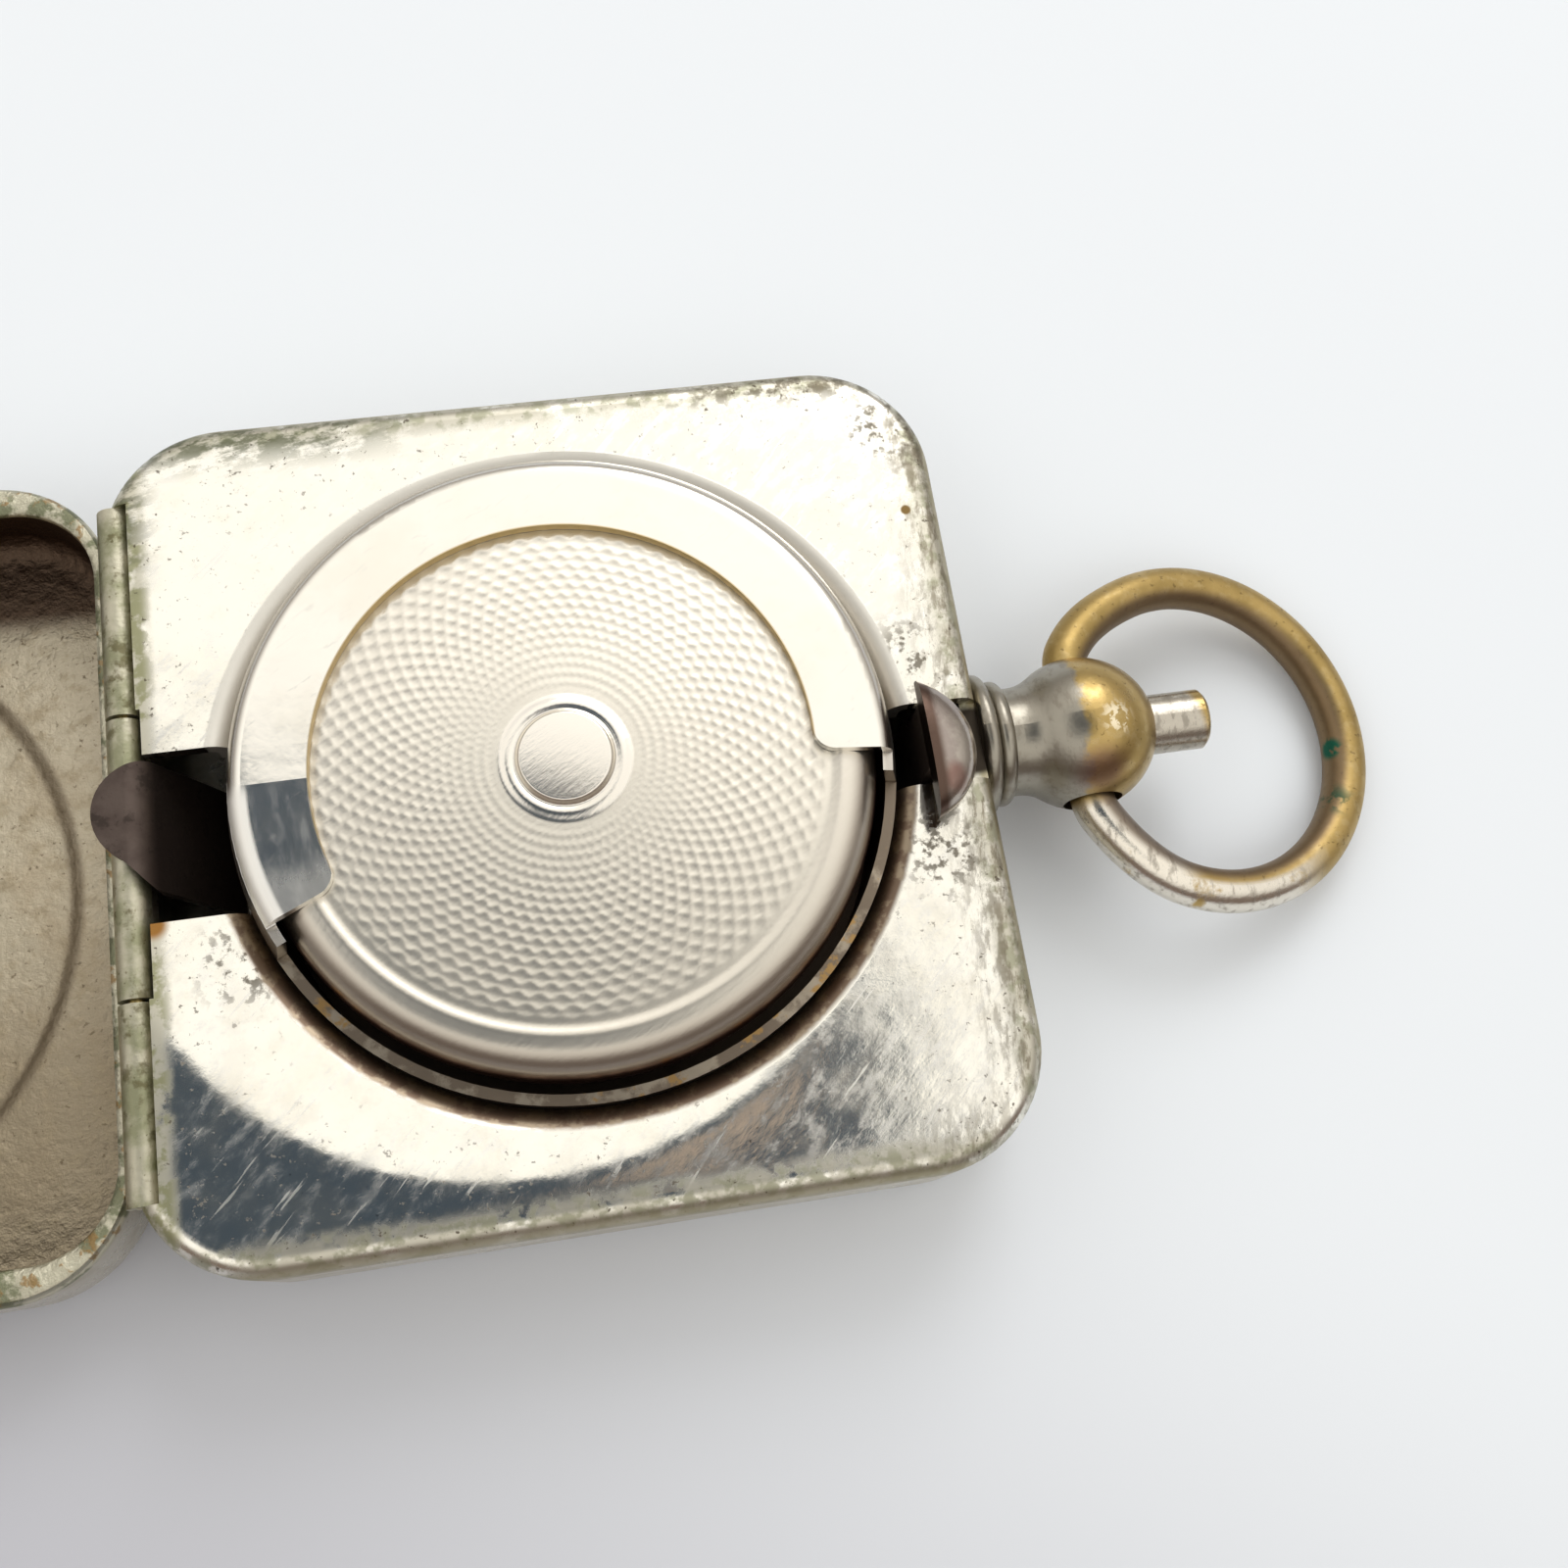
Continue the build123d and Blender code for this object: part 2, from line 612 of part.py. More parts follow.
with BuildPart() as push_pin_stop:
    with BuildSketch(Plane(origin=(stop_x, pendant_y, pendant_z), x_dir=(0, 1, 0), z_dir=(1, 0, 0))):
        Circle(stop_radius)
        Circle(push_pin_radius - stop_groove, mode=Mode.SUBTRACT)
        with Locations((0, -stop_radius)):
            Rectangle(stop_slit, 2 * stop_radius, mode=Mode.SUBTRACT)
    extrude(amount=stop_length)
push_pin_stop.part.label = "push_pin_stop"
export_step(push_pin_stop.part, "parts/push_pin_stop.step")

# ---- bow: round wire, turned in at both ends, leaning down until its far side lies on the ground ----
bow_middle = bow_shoulder + sqrt((bow_radius - bow_shoulder) ** 2 - bow_entry**2)
bow_reach = bow_middle + bow_radius
bow_lean = asin((pendant_z - bow_wire - bow_ground) / bow_reach)
shoulder_turn = degrees(atan2(bow_entry, bow_middle - bow_shoulder))
bow_plane = Plane(
    origin=(ball_x, pendant_y, pendant_z),
    x_dir=(cos(bow_lean), 0, -sin(bow_lean)),
    z_dir=(sin(bow_lean), 0, cos(bow_lean)),
)
with BuildPart() as bow:
    with BuildLine(bow_plane):
        low_leg = Line((0, -bow_end), (0, -bow_entry))
        low_shoulder = CenterArc((bow_shoulder, -bow_entry), bow_shoulder, 180, shoulder_turn)
        loop = CenterArc((bow_middle, 0), bow_radius, 180 + shoulder_turn, 360 - 2 * shoulder_turn)
        high_shoulder = CenterArc((bow_shoulder, bow_entry), bow_shoulder, 180 - shoulder_turn, shoulder_turn)
        high_leg = Line((0, bow_entry), (0, bow_end))
    with BuildSketch(Plane(origin=low_leg @ 0, z_dir=low_leg % 0)):
        Circle(bow_wire)
    sweep()
bow.part.label = "bow"
export_step(bow.part, "parts/bow.step")

# ---- catch: a leaf on edge that turns about its rivet, with a hooked nose on its stem ----
with BuildPart() as lock_spring:
    with BuildSketch(Plane.YZ.offset(lock_x - lock_thickness / 2)):
        with BuildLine():
            Polyline(
                (lock_rivet_y - lock_eye_radius / 2, metal + lock_play),
                (pendant_y + push_pin_radius, metal + lock_play),
                (pendant_y + push_pin_radius, lock_arm_height),
                (stem_y + stem_width / 2, lock_arm_height + stem_shoulder),
                (stem_y + stem_width / 2, base_height + nose_lift),
                (stem_y - stem_width / 2, base_height + nose_lift),
                (stem_y - stem_width / 2, lock_arm_height + stem_shoulder),
                (stem_y - stem_width, lock_arm_height),
                (lock_rivet_y - lock_eye_radius / 2, lock_root_height),
                close=True,
            )
        make_face()
    extrude(amount=lock_thickness)
    with BuildSketch(Plane.XY.offset(metal + lock_play)):
        with Locations((lock_rivet_x, lock_rivet_y)):
            Circle(lock_eye_radius)
    extrude(amount=lock_eye_thickness)
    with BuildSketch(Plane.XY.offset(metal)):
        with Locations((lock_rivet_x, lock_rivet_y)):
            Circle(lock_rivet_radius + lock_play)
    extrude(amount=seam_z, mode=Mode.SUBTRACT)
lock_spring.part.label = "lock_spring"
export_step(lock_spring.part, "parts/lock_spring.step")

nose_arc_radius = (nose_depth**2 + nose_width**2 / 4) / (2 * nose_depth)
with BuildPart() as catch_nose:
    with BuildSketch(Plane((lock_x - lock_thickness / 2, nose_y, base_height + nose_lift))):
        with BuildLine():
            ThreePointArc((0, -nose_width / 2), (nose_depth, 0), (0, nose_width / 2))
            Line((0, nose_width / 2), (0, -nose_width / 2))
        make_face()
    extrude(amount=nose_height)
    fillet(catch_nose.edges().filter_by(GeomType.CIRCLE).sort_by(Axis.Z)[-1], nose_round)
catch_nose.part.label = "catch_nose"
export_step(catch_nose.part, "parts/catch_nose.step")

with BuildPart() as lock_rivet:
    with BuildSketch(Plane((lock_rivet_x, lock_rivet_y, metal - rivet_seat))):
        Circle(lock_rivet_radius)
    extrude(amount=rivet_seat + lock_eye_thickness + 2 * lock_play)
    with BuildSketch(Plane((lock_rivet_x, lock_rivet_y, metal + lock_eye_thickness + 2 * lock_play))):
        Circle(lock_rivet_head_radius)
    extrude(amount=rivet_head_height)
lock_rivet.part.label = "lock_rivet"
export_step(lock_rivet.part, "parts/lock_rivet.step")
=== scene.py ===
from math import radians, tau

import bpy
import numpy as np
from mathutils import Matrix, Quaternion, Vector


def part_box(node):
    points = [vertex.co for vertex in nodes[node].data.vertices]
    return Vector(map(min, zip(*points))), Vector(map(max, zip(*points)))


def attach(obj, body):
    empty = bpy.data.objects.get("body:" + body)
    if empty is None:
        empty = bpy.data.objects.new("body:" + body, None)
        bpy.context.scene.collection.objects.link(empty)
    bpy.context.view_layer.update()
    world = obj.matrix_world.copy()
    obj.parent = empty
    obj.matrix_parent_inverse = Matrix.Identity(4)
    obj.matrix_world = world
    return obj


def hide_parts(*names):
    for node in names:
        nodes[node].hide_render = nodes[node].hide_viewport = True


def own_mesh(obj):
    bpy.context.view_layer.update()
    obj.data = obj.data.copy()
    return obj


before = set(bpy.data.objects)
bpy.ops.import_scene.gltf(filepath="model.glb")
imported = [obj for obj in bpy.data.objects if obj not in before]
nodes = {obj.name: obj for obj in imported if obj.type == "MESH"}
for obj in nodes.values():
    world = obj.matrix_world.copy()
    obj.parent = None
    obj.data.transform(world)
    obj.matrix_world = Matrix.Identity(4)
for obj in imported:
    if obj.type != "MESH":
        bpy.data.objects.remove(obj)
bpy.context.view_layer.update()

# An open sovereign case: nickel-plated brass, worn through in places.  Blender's unit is the metre.  The
# sizes and places below are in millimetres, and mm turns them into metres.
mm = 0.001

# ---- sizes ----
case_half = 16.0              # half the side of the case
plate_z = 6.8                 # face of the plate
cup_x, cup_y = 0.26, 0.33     # the cup's axis, and the platform's
loop_x, loop_y = 26.23, -0.18  # middle of the bow's loop
wave_count = 72               # waves round the engine-turned face
line_pitch = 0.385            # from one cut line to the next
line_width = 0.13
line_relief = 0.017
wave_swing = 0.1              # sideways swing of a cut line at the rim of the face
platform_radius = 11.4
face_drop = 0.15              # from the top of the solid platform to the face
face_start = 2.5              # the engine turning runs from the boss ring to the plain band
face_end = 9.35
boss_radius = 1.75
boss_rise = 0.34
boss_dome = 0.018             # drop of the boss's face, times the radius squared
ring_radius = 2.05
ring_width = 0.42
ring_rise = 0.09
bead_radius = 9.98
bead_width = 0.28
bead_rise = 0.055
band_dip = 0.025              # of the plain band between the face and the bead
shoulder_start = 10.3
shoulder_drop = 1.25
skirt_drop = 1.9
pan_metal = 0.35

lid_metal = 0.55
lid_corner = 4.4
lid_foot_round = 1.6
rim_round = 0.35              # outer edge of the rim
hem_width = 1.25
hem_height = 0.45
hem_bulge = 0.25
circle_radius = 12.9          # the pressed circle
circle_step = 0.3
circle_slope = 0.6            # width of the slope round it

nose_height = 1.1
nose_end_power = 2.8          # how squarely the nose's ends rise
nose_side_power = 1.9         # and its round side

spring_wire = 0.32            # radius of the wire
spring_head_radius = 5.4
spring_turns = 3.5

bow_wire = 0.875              # radius of the wire
bow_radius = 6.61             # of the loop, to the wire's middle
bow_shoulder = 1.5            # bend from each leg into the loop
bow_entry = 2.7               # where the legs enter the ball, from its middle
bow_end = 1.75
bow_floor_gap = 0.02          # under the loop, where it lies on the table
bow_slip = (0.02, -0.38)      # the loop hangs off centre, towards the worn hole


# ---- meshes ----
def smooth_step(low, high, value):
    """0 below low and 1 above high, with a cubic ease between them."""
    share = np.clip((value - low) / (high - low), 0, 1)
    return share * share * (3 - 2 * share)


def closed_surface(name, rows):
    """A closed mesh over rows of points, each row a ring.  Neighbouring rings are joined by quads, and the
    first and last rings are drawn together in a single point, their mean."""
    rings, columns = rows.shape[:2]
    points = np.vstack([rows.reshape(-1, 3), rows[0].mean(0), rows[-1].mean(0)])
    around = np.arange(columns)
    ahead = (around + 1) % columns
    starts = np.arange(rings - 1)[:, None] * columns
    quads = np.stack(
        [starts + around, starts + ahead, starts + columns + ahead, starts + columns + around], axis=-1
    ).reshape(-1, 4)
    first_pole, last_pole = len(points) - 2, len(points) - 1
    last_start = (rings - 1) * columns
    first_fan = np.stack([ahead, around, np.full(columns, first_pole)], axis=-1)
    last_fan = np.stack([last_start + around, last_start + ahead, np.full(columns, last_pole)], axis=-1)
    corners = points[quads]
    spread = np.cross(corners[:, 2] - corners[:, 0], corners[:, 3] - corners[:, 1])
    if (spread * (corners.mean(1) - points.mean(0))).sum() < 0:
        quads, first_fan, last_fan = quads[:, ::-1], first_fan[:, ::-1], last_fan[:, ::-1]
    mesh = bpy.data.meshes.new(name)
    mesh.from_pydata((points * mm).tolist(), [], quads.tolist() + first_fan.tolist() + last_fan.tolist())
    mesh.polygons.foreach_set("use_smooth", np.ones(len(mesh.polygons), dtype=bool))
    piece = bpy.data.objects.new(name, mesh)
    bpy.context.scene.collection.objects.link(piece)
    return piece


def engine_turning(radius, angle):
    """Height of the engine turning.  The lines are circles that swing in and out as a cosine of the angle,
    every second one in the opposite sense, so that they draw apart into a staggered net of dimples.  A
    line's section is a bell, and where two lines meet they melt into one."""
    swing = wave_swing * smooth_step(1.0, 7.0, radius) * np.cos(wave_count * angle)
    untouched = 1.0
    for sense, start in ((1, 0), (-1, line_pitch)):
        turns = (radius - face_start - start - sense * swing) / (2 * line_pitch)
        away = np.abs(turns - np.round(turns)) * 2 * line_pitch
        untouched = untouched * (1 - np.exp(-((away / line_width) ** 2)))
    fade = smooth_step(face_start - 0.1, face_start + 0.5, radius) * smooth_step(
        face_end + 0.15, face_end - 0.15, radius
    )
    strength = 0.4 + 0.6 * smooth_step(3.0, 7.0, radius)
    return line_relief * (1 - untouched - 0.5) * fade * strength


def engine_turned_platform():
    """A pan turned about the cup's axis.  Its height is a function of radius and angle: a boss with a soft
    edge, a low ring round it, the engine turning, a plain band that dips, a bead, and a shoulder that falls
    ever more steeply to the skirt."""
    low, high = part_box("coin_platform")
    middle_x, middle_y = (low.x + high.x) / 2 / mm, (low.y + high.y) / 2 / mm
    face_z = high.z / mm - face_drop
    radius = np.concatenate([
        np.linspace(0.12, boss_radius - 0.15, 8),
        np.linspace(boss_radius - 0.12, boss_radius + 0.12, 7),
        np.linspace(ring_radius - 0.14, ring_radius + ring_width - 0.02, 9),
        np.arange(face_start, face_end + 0.1, 0.051),
        np.linspace(face_end + 0.15, bead_radius - 0.22, 4),
        np.linspace(bead_radius - 0.17, bead_radius + 0.2, 8),
        np.linspace(bead_radius + 0.3, platform_radius, 10),
    ])[:, None]
    angle = np.linspace(0, tau, 7 * wave_count, endpoint=False)[None, :]
    across_ring = np.clip(np.abs(radius - ring_radius) / ring_width, 0, 1)
    height = ring_rise * (0.5 + 0.5 * np.cos(across_ring * tau / 2))
    boss = boss_rise - boss_dome * radius**2
    height = height + (boss - height) * smooth_step(boss_radius + 0.12, boss_radius - 0.12, radius)
    height = height + bead_rise * np.exp(-(((radius - bead_radius) / bead_width) ** 2))
    height = height - band_dip * np.exp(-(((radius - (face_end + bead_radius) / 2) / 0.2) ** 2))
    fall = np.clip((radius - shoulder_start) / (platform_radius - shoulder_start), 0, 1)
    height = height - shoulder_drop * (1 - (1 - fall**1.8) ** 0.55)
    height = height + engine_turning(radius, angle)
    top = np.stack(np.broadcast_arrays(radius * np.cos(angle), radius * np.sin(angle), height), axis=-1)
    inner = platform_radius - pan_metal
    hidden = [
        (platform_radius, -skirt_drop + 0.1),
        (platform_radius - 0.1, -skirt_drop),
        (inner + 0.05, -skirt_drop),
        (inner, -skirt_drop + 0.05),
        (inner, -shoulder_drop),
        (bead_radius, -pan_metal),
        (1.0, -pan_metal),
    ]
    under = np.array([
        np.stack([r * np.cos(angle[0]), r * np.sin(angle[0]), np.full(angle.shape[1], z)], axis=-1)
        for r, z in hidden
    ])
    rows = np.concatenate([top, under]) + np.array([middle_x, middle_y, face_z])
    return closed_surface("platform_pan", rows)


def swept_lid():
    """The lid lying open: a dished pan.  Its section, written as inset and height, is carried round a
    rounded rectangle whose hinge side has an inset of its own.  Inside the pressed circle the rings are
    circles."""
    low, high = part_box("lid_shell")
    top = high.z / mm
    half = np.array([high.x - low.x, high.y - low.y]) / 2 / mm
    middle = np.array([high.x + low.x, high.y + low.y]) / 2 / mm
    share = np.linspace(0, 1, 60, endpoint=False)
    side_share, arc_share = 2 * share - 1, share * tau / 4

    def rectangle(inset, hinge_inset):
        """Ring points of a rounded rectangle: on each of four turns a straight side, then a quarter arc."""
        size = half - [(inset + hinge_inset) / 2, inset]
        place = middle + [(inset - hinge_inset) / 2, 0]
        corner = max(lid_corner - inset, 0.05)
        ring = []
        for turn in range(4):
            out, along = (size[0], size[1]) if turn % 2 == 0 else (size[1], size[0])
            side = np.stack([np.full(share.shape, out), side_share * (along - corner)], axis=-1)
            bend = corner * np.stack([np.cos(arc_share), np.sin(arc_share)], axis=-1)
            points = np.concatenate([side, bend + [out - corner, along - corner]])
            for _ in range(turn):
                points = np.stack([-points[:, 1], points[:, 0]], axis=-1)
            ring.append(points)
        return np.concatenate(ring) + place

    outline = rectangle(0, 0) - middle
    heading = outline / np.linalg.norm(outline, axis=1)[:, None]
    rows = []

    def lay(ring, height):
        rows.append(np.concatenate([ring, np.full((len(ring), 1), height)], axis=1))

    floor, step = lid_metal, circle_step
    slope_start = circle_radius - circle_slope
    for radius in np.linspace(0.4, slope_start, 14):
        lay(middle + radius * heading, floor)
    for turn in np.linspace(0.15, 1, 5):
        height = floor + step * (0.5 - 0.5 * np.cos(turn * tau / 2))
        lay(middle + (slope_start + circle_slope * turn) * heading, height)
    inner_round = lid_foot_round - lid_metal
    inner_floor = rectangle(lid_foot_round, lid_foot_round)
    circle = middle + circle_radius * heading
    for turn in (0.2, 0.6, 0.9):
        lay(circle * (1 - turn) + inner_floor * turn, floor + step)
    for turn in np.linspace(0, tau / 4, 7):
        out = lid_foot_round - inner_round * np.sin(turn)
        lay(rectangle(out, out), floor + step + inner_round * (1 - np.cos(turn)))
    hem_under, hem_middle = top - hem_height, top - hem_height / 2
    for height in np.linspace(floor + step + inner_round, hem_under - 0.2, 4)[1:]:
        lay(rectangle(lid_metal, lid_metal), height)
    lay(rectangle(lid_metal + 0.05, lid_metal), hem_under - 0.05)
    lay(rectangle(lid_metal + 0.2, lid_metal), hem_under)
    for turn in np.linspace(-1, 1, 9):
        bulge = np.sqrt(1 - turn**2)
        inset = hem_width - hem_bulge + hem_bulge * bulge
        lay(rectangle(inset, lid_metal), hem_middle + turn * (hem_height / 2 - 0.02))
    lay(rectangle(hem_width * 0.55, lid_metal * 0.6), top)
    for turn in np.linspace(0, tau / 4, 6):
        out = rim_round * (1 - np.sin(turn))
        lay(rectangle(out, out * 0.5), top - rim_round * (1 - np.cos(turn)))
    for height in np.linspace(top - rim_round, lid_foot_round + step, 4)[1:]:
        lay(rectangle(0, 0), height)
    for turn in np.linspace(0, tau / 4, 9)[1:]:
        out = lid_foot_round * (1 - np.cos(turn))
        lay(rectangle(out, out), step + lid_foot_round * (1 - np.sin(turn)))
    lay(middle + (circle_radius + 0.1) * heading, step)
    lay(middle + slope_start * heading, 0)
    lay(middle + 0.5 * heading, 0)
    return closed_surface("lid_pan", np.array(rows))


def domed_nose():
    """The catch's nose: a D seen from above, with a crisp chord and a domed top.  At each height the D's
    half width and depth are those of two superellipses, and its round side is an arc through three
    points."""
    low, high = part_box("catch_nose")
    chord_x, foot_z = low.x / mm, low.z / mm
    middle_y, half_width = (low.y + high.y) / 2 / mm, (high.y - low.y) / 2 / mm
    depth = (high.x - low.x) / mm
    rows = [np.array([[chord_x + 0.4, middle_y, foot_z]]) + np.zeros((88, 3))]
    lean = np.concatenate([np.linspace(0, 1.35, 16), np.linspace(1.4, 1.565, 8)])
    for share in np.sin(lean):
        width = half_width * (1 - share**nose_end_power) ** (1 / nose_end_power)
        reach = depth * (1 - share**nose_side_power) ** (1 / nose_side_power)
        across = np.linspace(-1, 1, 45)
        bulge = (width**2 - reach**2) / (2 * reach)
        radius = bulge + reach
        side_x = np.sqrt(np.maximum(radius**2 - (across * width) ** 2, 0)) - bulge
        side = np.stack([chord_x + side_x, middle_y + across * width], axis=-1)
        chord = np.stack([np.full(43, chord_x), middle_y - across[1:-1] * width], axis=-1)
        ring = np.concatenate([side, chord])
        rows.append(np.concatenate([ring, np.full((len(ring), 1), foot_z + nose_height * share)], axis=1))
    piece = closed_surface("nose_dome", np.array(rows))
    piece.data.set_sharp_from_angle(angle=radians(50))
    return piece


def sprung_coil():
    """The spring under the platform: a round wire along a helix whose radius narrows evenly as it
    climbs."""
    low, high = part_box("platform_spring")
    foot_radius = max(high.x - low.x, high.y - low.y) / 2 / mm - spring_wire
    share = np.linspace(0, 1, 340)
    angle, radius = tau * spring_turns * share, foot_radius + (spring_head_radius - foot_radius) * share
    lowest, highest = low.z / mm + spring_wire, high.z / mm - spring_wire
    path = np.stack([cup_x + radius * np.cos(angle), cup_y + radius * np.sin(angle),
                     lowest + (highest - lowest) * share], axis=-1)
    ahead = np.gradient(path, axis=0)
    ahead /= np.linalg.norm(ahead, axis=1)[:, None]
    out = np.stack([np.cos(angle), np.sin(angle), np.zeros(len(angle))], axis=-1)
    out -= (out * ahead).sum(1)[:, None] * ahead
    out /= np.linalg.norm(out, axis=1)[:, None]
    up = np.cross(ahead, out)
    round_wire = np.linspace(0, tau, 16, endpoint=False)[None, :, None]
    section = np.cos(round_wire) * out[:, None] + np.sin(round_wire) * up[:, None]
    rows = path[:, None] + spring_wire * section
    piece = closed_surface("spring_coil", rows)
    piece.data.set_sharp_from_angle(angle=radians(50))
    return piece


def slipped_bow():
    """The bow: a round wire carried along a path in its own leaning plane.  Two legs enter the ball and
    turn through shoulders into a round loop, which slips sideways by an ease with the distance from the
    ball."""
    pendant_low, pendant_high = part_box("pendant")
    bow_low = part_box("bow")[0]
    ball_radius = (pendant_high.z - pendant_low.z) / 2 / mm
    ball = np.array([
        bow_low.x / mm + bow_wire,
        (pendant_high.y + pendant_low.y) / 2 / mm,
        (pendant_high.z + pendant_low.z) / 2 / mm,
    ])
    middle = bow_shoulder + np.sqrt((bow_radius - bow_shoulder) ** 2 - bow_entry**2)
    lean = np.arcsin((ball[2] - bow_wire - bow_floor_gap) / (middle + bow_radius))
    turn = np.arctan2(bow_entry, middle - bow_shoulder)

    def arc(x, y, radius, start, sweep, count):
        angle = start + sweep * np.linspace(0, 1, count)
        return np.stack([x + radius * np.cos(angle), y + radius * np.sin(angle)], axis=-1)

    half = tau / 2
    path = np.concatenate([
        np.stack([np.zeros(6), np.linspace(-bow_end, -bow_entry, 6, endpoint=False)], axis=-1),
        arc(bow_shoulder, -bow_entry, bow_shoulder, half, turn, 12)[:-1],
        arc(middle, 0, bow_radius, half + turn, tau - 2 * turn, 190)[:-1],
        arc(bow_shoulder, bow_entry, bow_shoulder, half - turn, turn, 12)[:-1],
        np.stack([np.zeros(6), np.linspace(bow_entry, bow_end, 6)], axis=-1),
    ])
    away = np.linalg.norm(path, axis=1)
    path = path + smooth_step(ball_radius - 0.1, ball_radius + 4.0, away)[:, None] * np.array(bow_slip)
    ahead = np.gradient(path, axis=0)
    ahead /= np.linalg.norm(ahead, axis=1)[:, None]
    side = np.stack([-ahead[:, 1], ahead[:, 0]], axis=-1)
    round_wire = np.linspace(0, tau, 40, endpoint=False)
    flat = path[:, None] + bow_wire * np.cos(round_wire)[None, :, None] * side[:, None]
    lift = np.broadcast_to(bow_wire * np.sin(round_wire), flat.shape[:2])
    rows = np.stack([
        ball[0] + flat[..., 0] * np.cos(lean) + lift * np.sin(lean),
        ball[1] + flat[..., 1],
        ball[2] - flat[..., 0] * np.sin(lean) + lift * np.cos(lean),
    ], axis=-1)
    piece = closed_surface("bow_loop", rows)
    piece.data.set_sharp_from_angle(angle=radians(50))
    return piece


# ---- finishes ----
def add(tree, kind, inputs=None, **settings):
    """A node of a kind with its settings.  Its inputs are set to values or joined to other nodes' outputs."""
    made = tree.nodes.new(kind)
    for name, value in settings.items():
        setattr(made, name, value)
    for name, value in (inputs or {}).items():
        socket = made.inputs[name]
        if isinstance(value, bpy.types.NodeSocket):
            tree.links.new(value, socket)
        elif value is not None:
            socket.default_value = value
    return made


def math(tree, operation, first, second=None, third=None, clamp=False):
    inputs = {0: first, 1: second, 2: third}
    return add(tree, "ShaderNodeMath", inputs, operation=operation, use_clamp=clamp).outputs[0]


def times(tree, *shares):
    """All the shares multiplied together."""
    product = shares[0]
    for share in shares[1:]:
        product = math(tree, "MULTIPLY", product, share)
    return product


def ramp(tree, value, low, high):
    """0 at low and 1 at high, with an ease between; low may be the larger."""
    if low > high:
        return math(tree, "SUBTRACT", 1.0, ramp(tree, value, high, low))
    return add(
        tree, "ShaderNodeMapRange", {"Value": value, "From Min": low, "From Max": high},
        interpolation_type="SMOOTHSTEP",
    ).outputs[0]


def blend(tree, share, first, second):
    """first where share is 0 and second where it is 1.  Colours are written as three numbers."""
    made = add(tree, "ShaderNodeMix", data_type="RGBA")
    for slot, value in ((0, share), (6, first), (7, second)):
        if isinstance(value, bpy.types.NodeSocket):
            tree.links.new(value, made.inputs[slot])
        else:
            made.inputs[slot].default_value = value if slot == 0 else (*value, 1)
    return made.outputs[2]


def noise(tree, place, scale, detail=4.0, roughness=0.55, stretch=None):
    """Noise with scale cells to the millimetre.  stretch is an angle and two factors: the noise is drawn
    out by the first factor along that angle and by the second across it."""
    if stretch:
        angle, along, across = stretch
        place = add(
            tree, "ShaderNodeMapping",
            {"Vector": place, "Rotation": (0, 0, angle), "Scale": (along, across, 1)}, vector_type="TEXTURE",
        ).outputs[0]
    return add(tree, "ShaderNodeTexNoise", {
        "Vector": place, "Scale": scale, "Detail": detail, "Roughness": roughness,
    }).outputs[0]


class Finish:
    """A metal finish built up in coats.  Places are in millimetres."""

    def __init__(self, name, colour, roughness):
        self.material = bpy.data.materials.new(name)
        self.material.use_nodes = True
        self.tree = self.material.node_tree
        self.shader = self.tree.nodes["Principled BSDF"]
        self.shader.inputs["Metallic"].default_value = 1.0
        own_place = self.tree.nodes.new("ShaderNodeTexCoord").outputs["Object"]
        self.place = add(self.tree, "ShaderNodeVectorMath", {0: own_place, "Scale": 1000.0},
                         operation="SCALE").outputs[0]
        self.x, self.y, self.z = add(self.tree, "ShaderNodeSeparateXYZ", {0: self.place}).outputs
        self.colour, self.roughness, self.height = colour, roughness, None

    def cloud(self, scale, low, high, detail=5.0, roughness=0.6, stretch=None):
        """Patches of noise: 0 where the noise is below low and 1 where it is above high."""
        return ramp(self.tree, noise(self.tree, self.place, scale, detail, roughness, stretch), low, high)

    def coat(self, shares, colour, roughness=None):
        """A coat of another colour where the product of the shares is 1, with its own roughness if given."""
        share = times(self.tree, *shares)
        self.colour = blend(self.tree, share, self.colour, colour)
        if roughness is not None:
            inputs = {0: share, 2: self.roughness, 3: roughness}
            self.roughness = add(self.tree, "ShaderNodeMix", inputs).outputs[0]

    def rise(self, height, amount):
        """Adds height times amount, in millimetres, to the relief."""
        raised = math(self.tree, "MULTIPLY", height, amount)
        self.height = raised if self.height is None else math(self.tree, "ADD", self.height, raised)

    def from_axis(self, x, y):
        """Distance from the upright axis through x and y."""
        flat = add(self.tree, "ShaderNodeCombineXYZ", {0: self.x, 1: self.y}).outputs[0]
        away = add(self.tree, "ShaderNodeVectorMath", {0: flat, 1: (x, y, 0)}, operation="DISTANCE")
        return away.outputs["Value"]

    def near(self, x, y, z, inner, outer):
        """1 within inner of a point and 0 beyond outer."""
        away = add(self.tree, "ShaderNodeVectorMath", {0: self.place, 1: (x, y, z)}, operation="DISTANCE")
        return ramp(self.tree, away.outputs["Value"], outer, inner)

    def done(self):
        """Joins the coats and the relief to the shader and gives the material."""
        shader = self.shader.inputs
        for name, value in (("Base Color", self.colour), ("Roughness", self.roughness)):
            if isinstance(value, bpy.types.NodeSocket):
                self.tree.links.new(value, shader[name])
            else:
                shader[name].default_value = (*value, 1) if name == "Base Color" else value
        if self.height is not None:
            inputs = {"Strength": 1.0, "Distance": mm, "Height": self.height}
            bump = add(self.tree, "ShaderNodeBump", inputs)
            self.tree.links.new(bump.outputs[0], shader["Normal"])
        return self.material


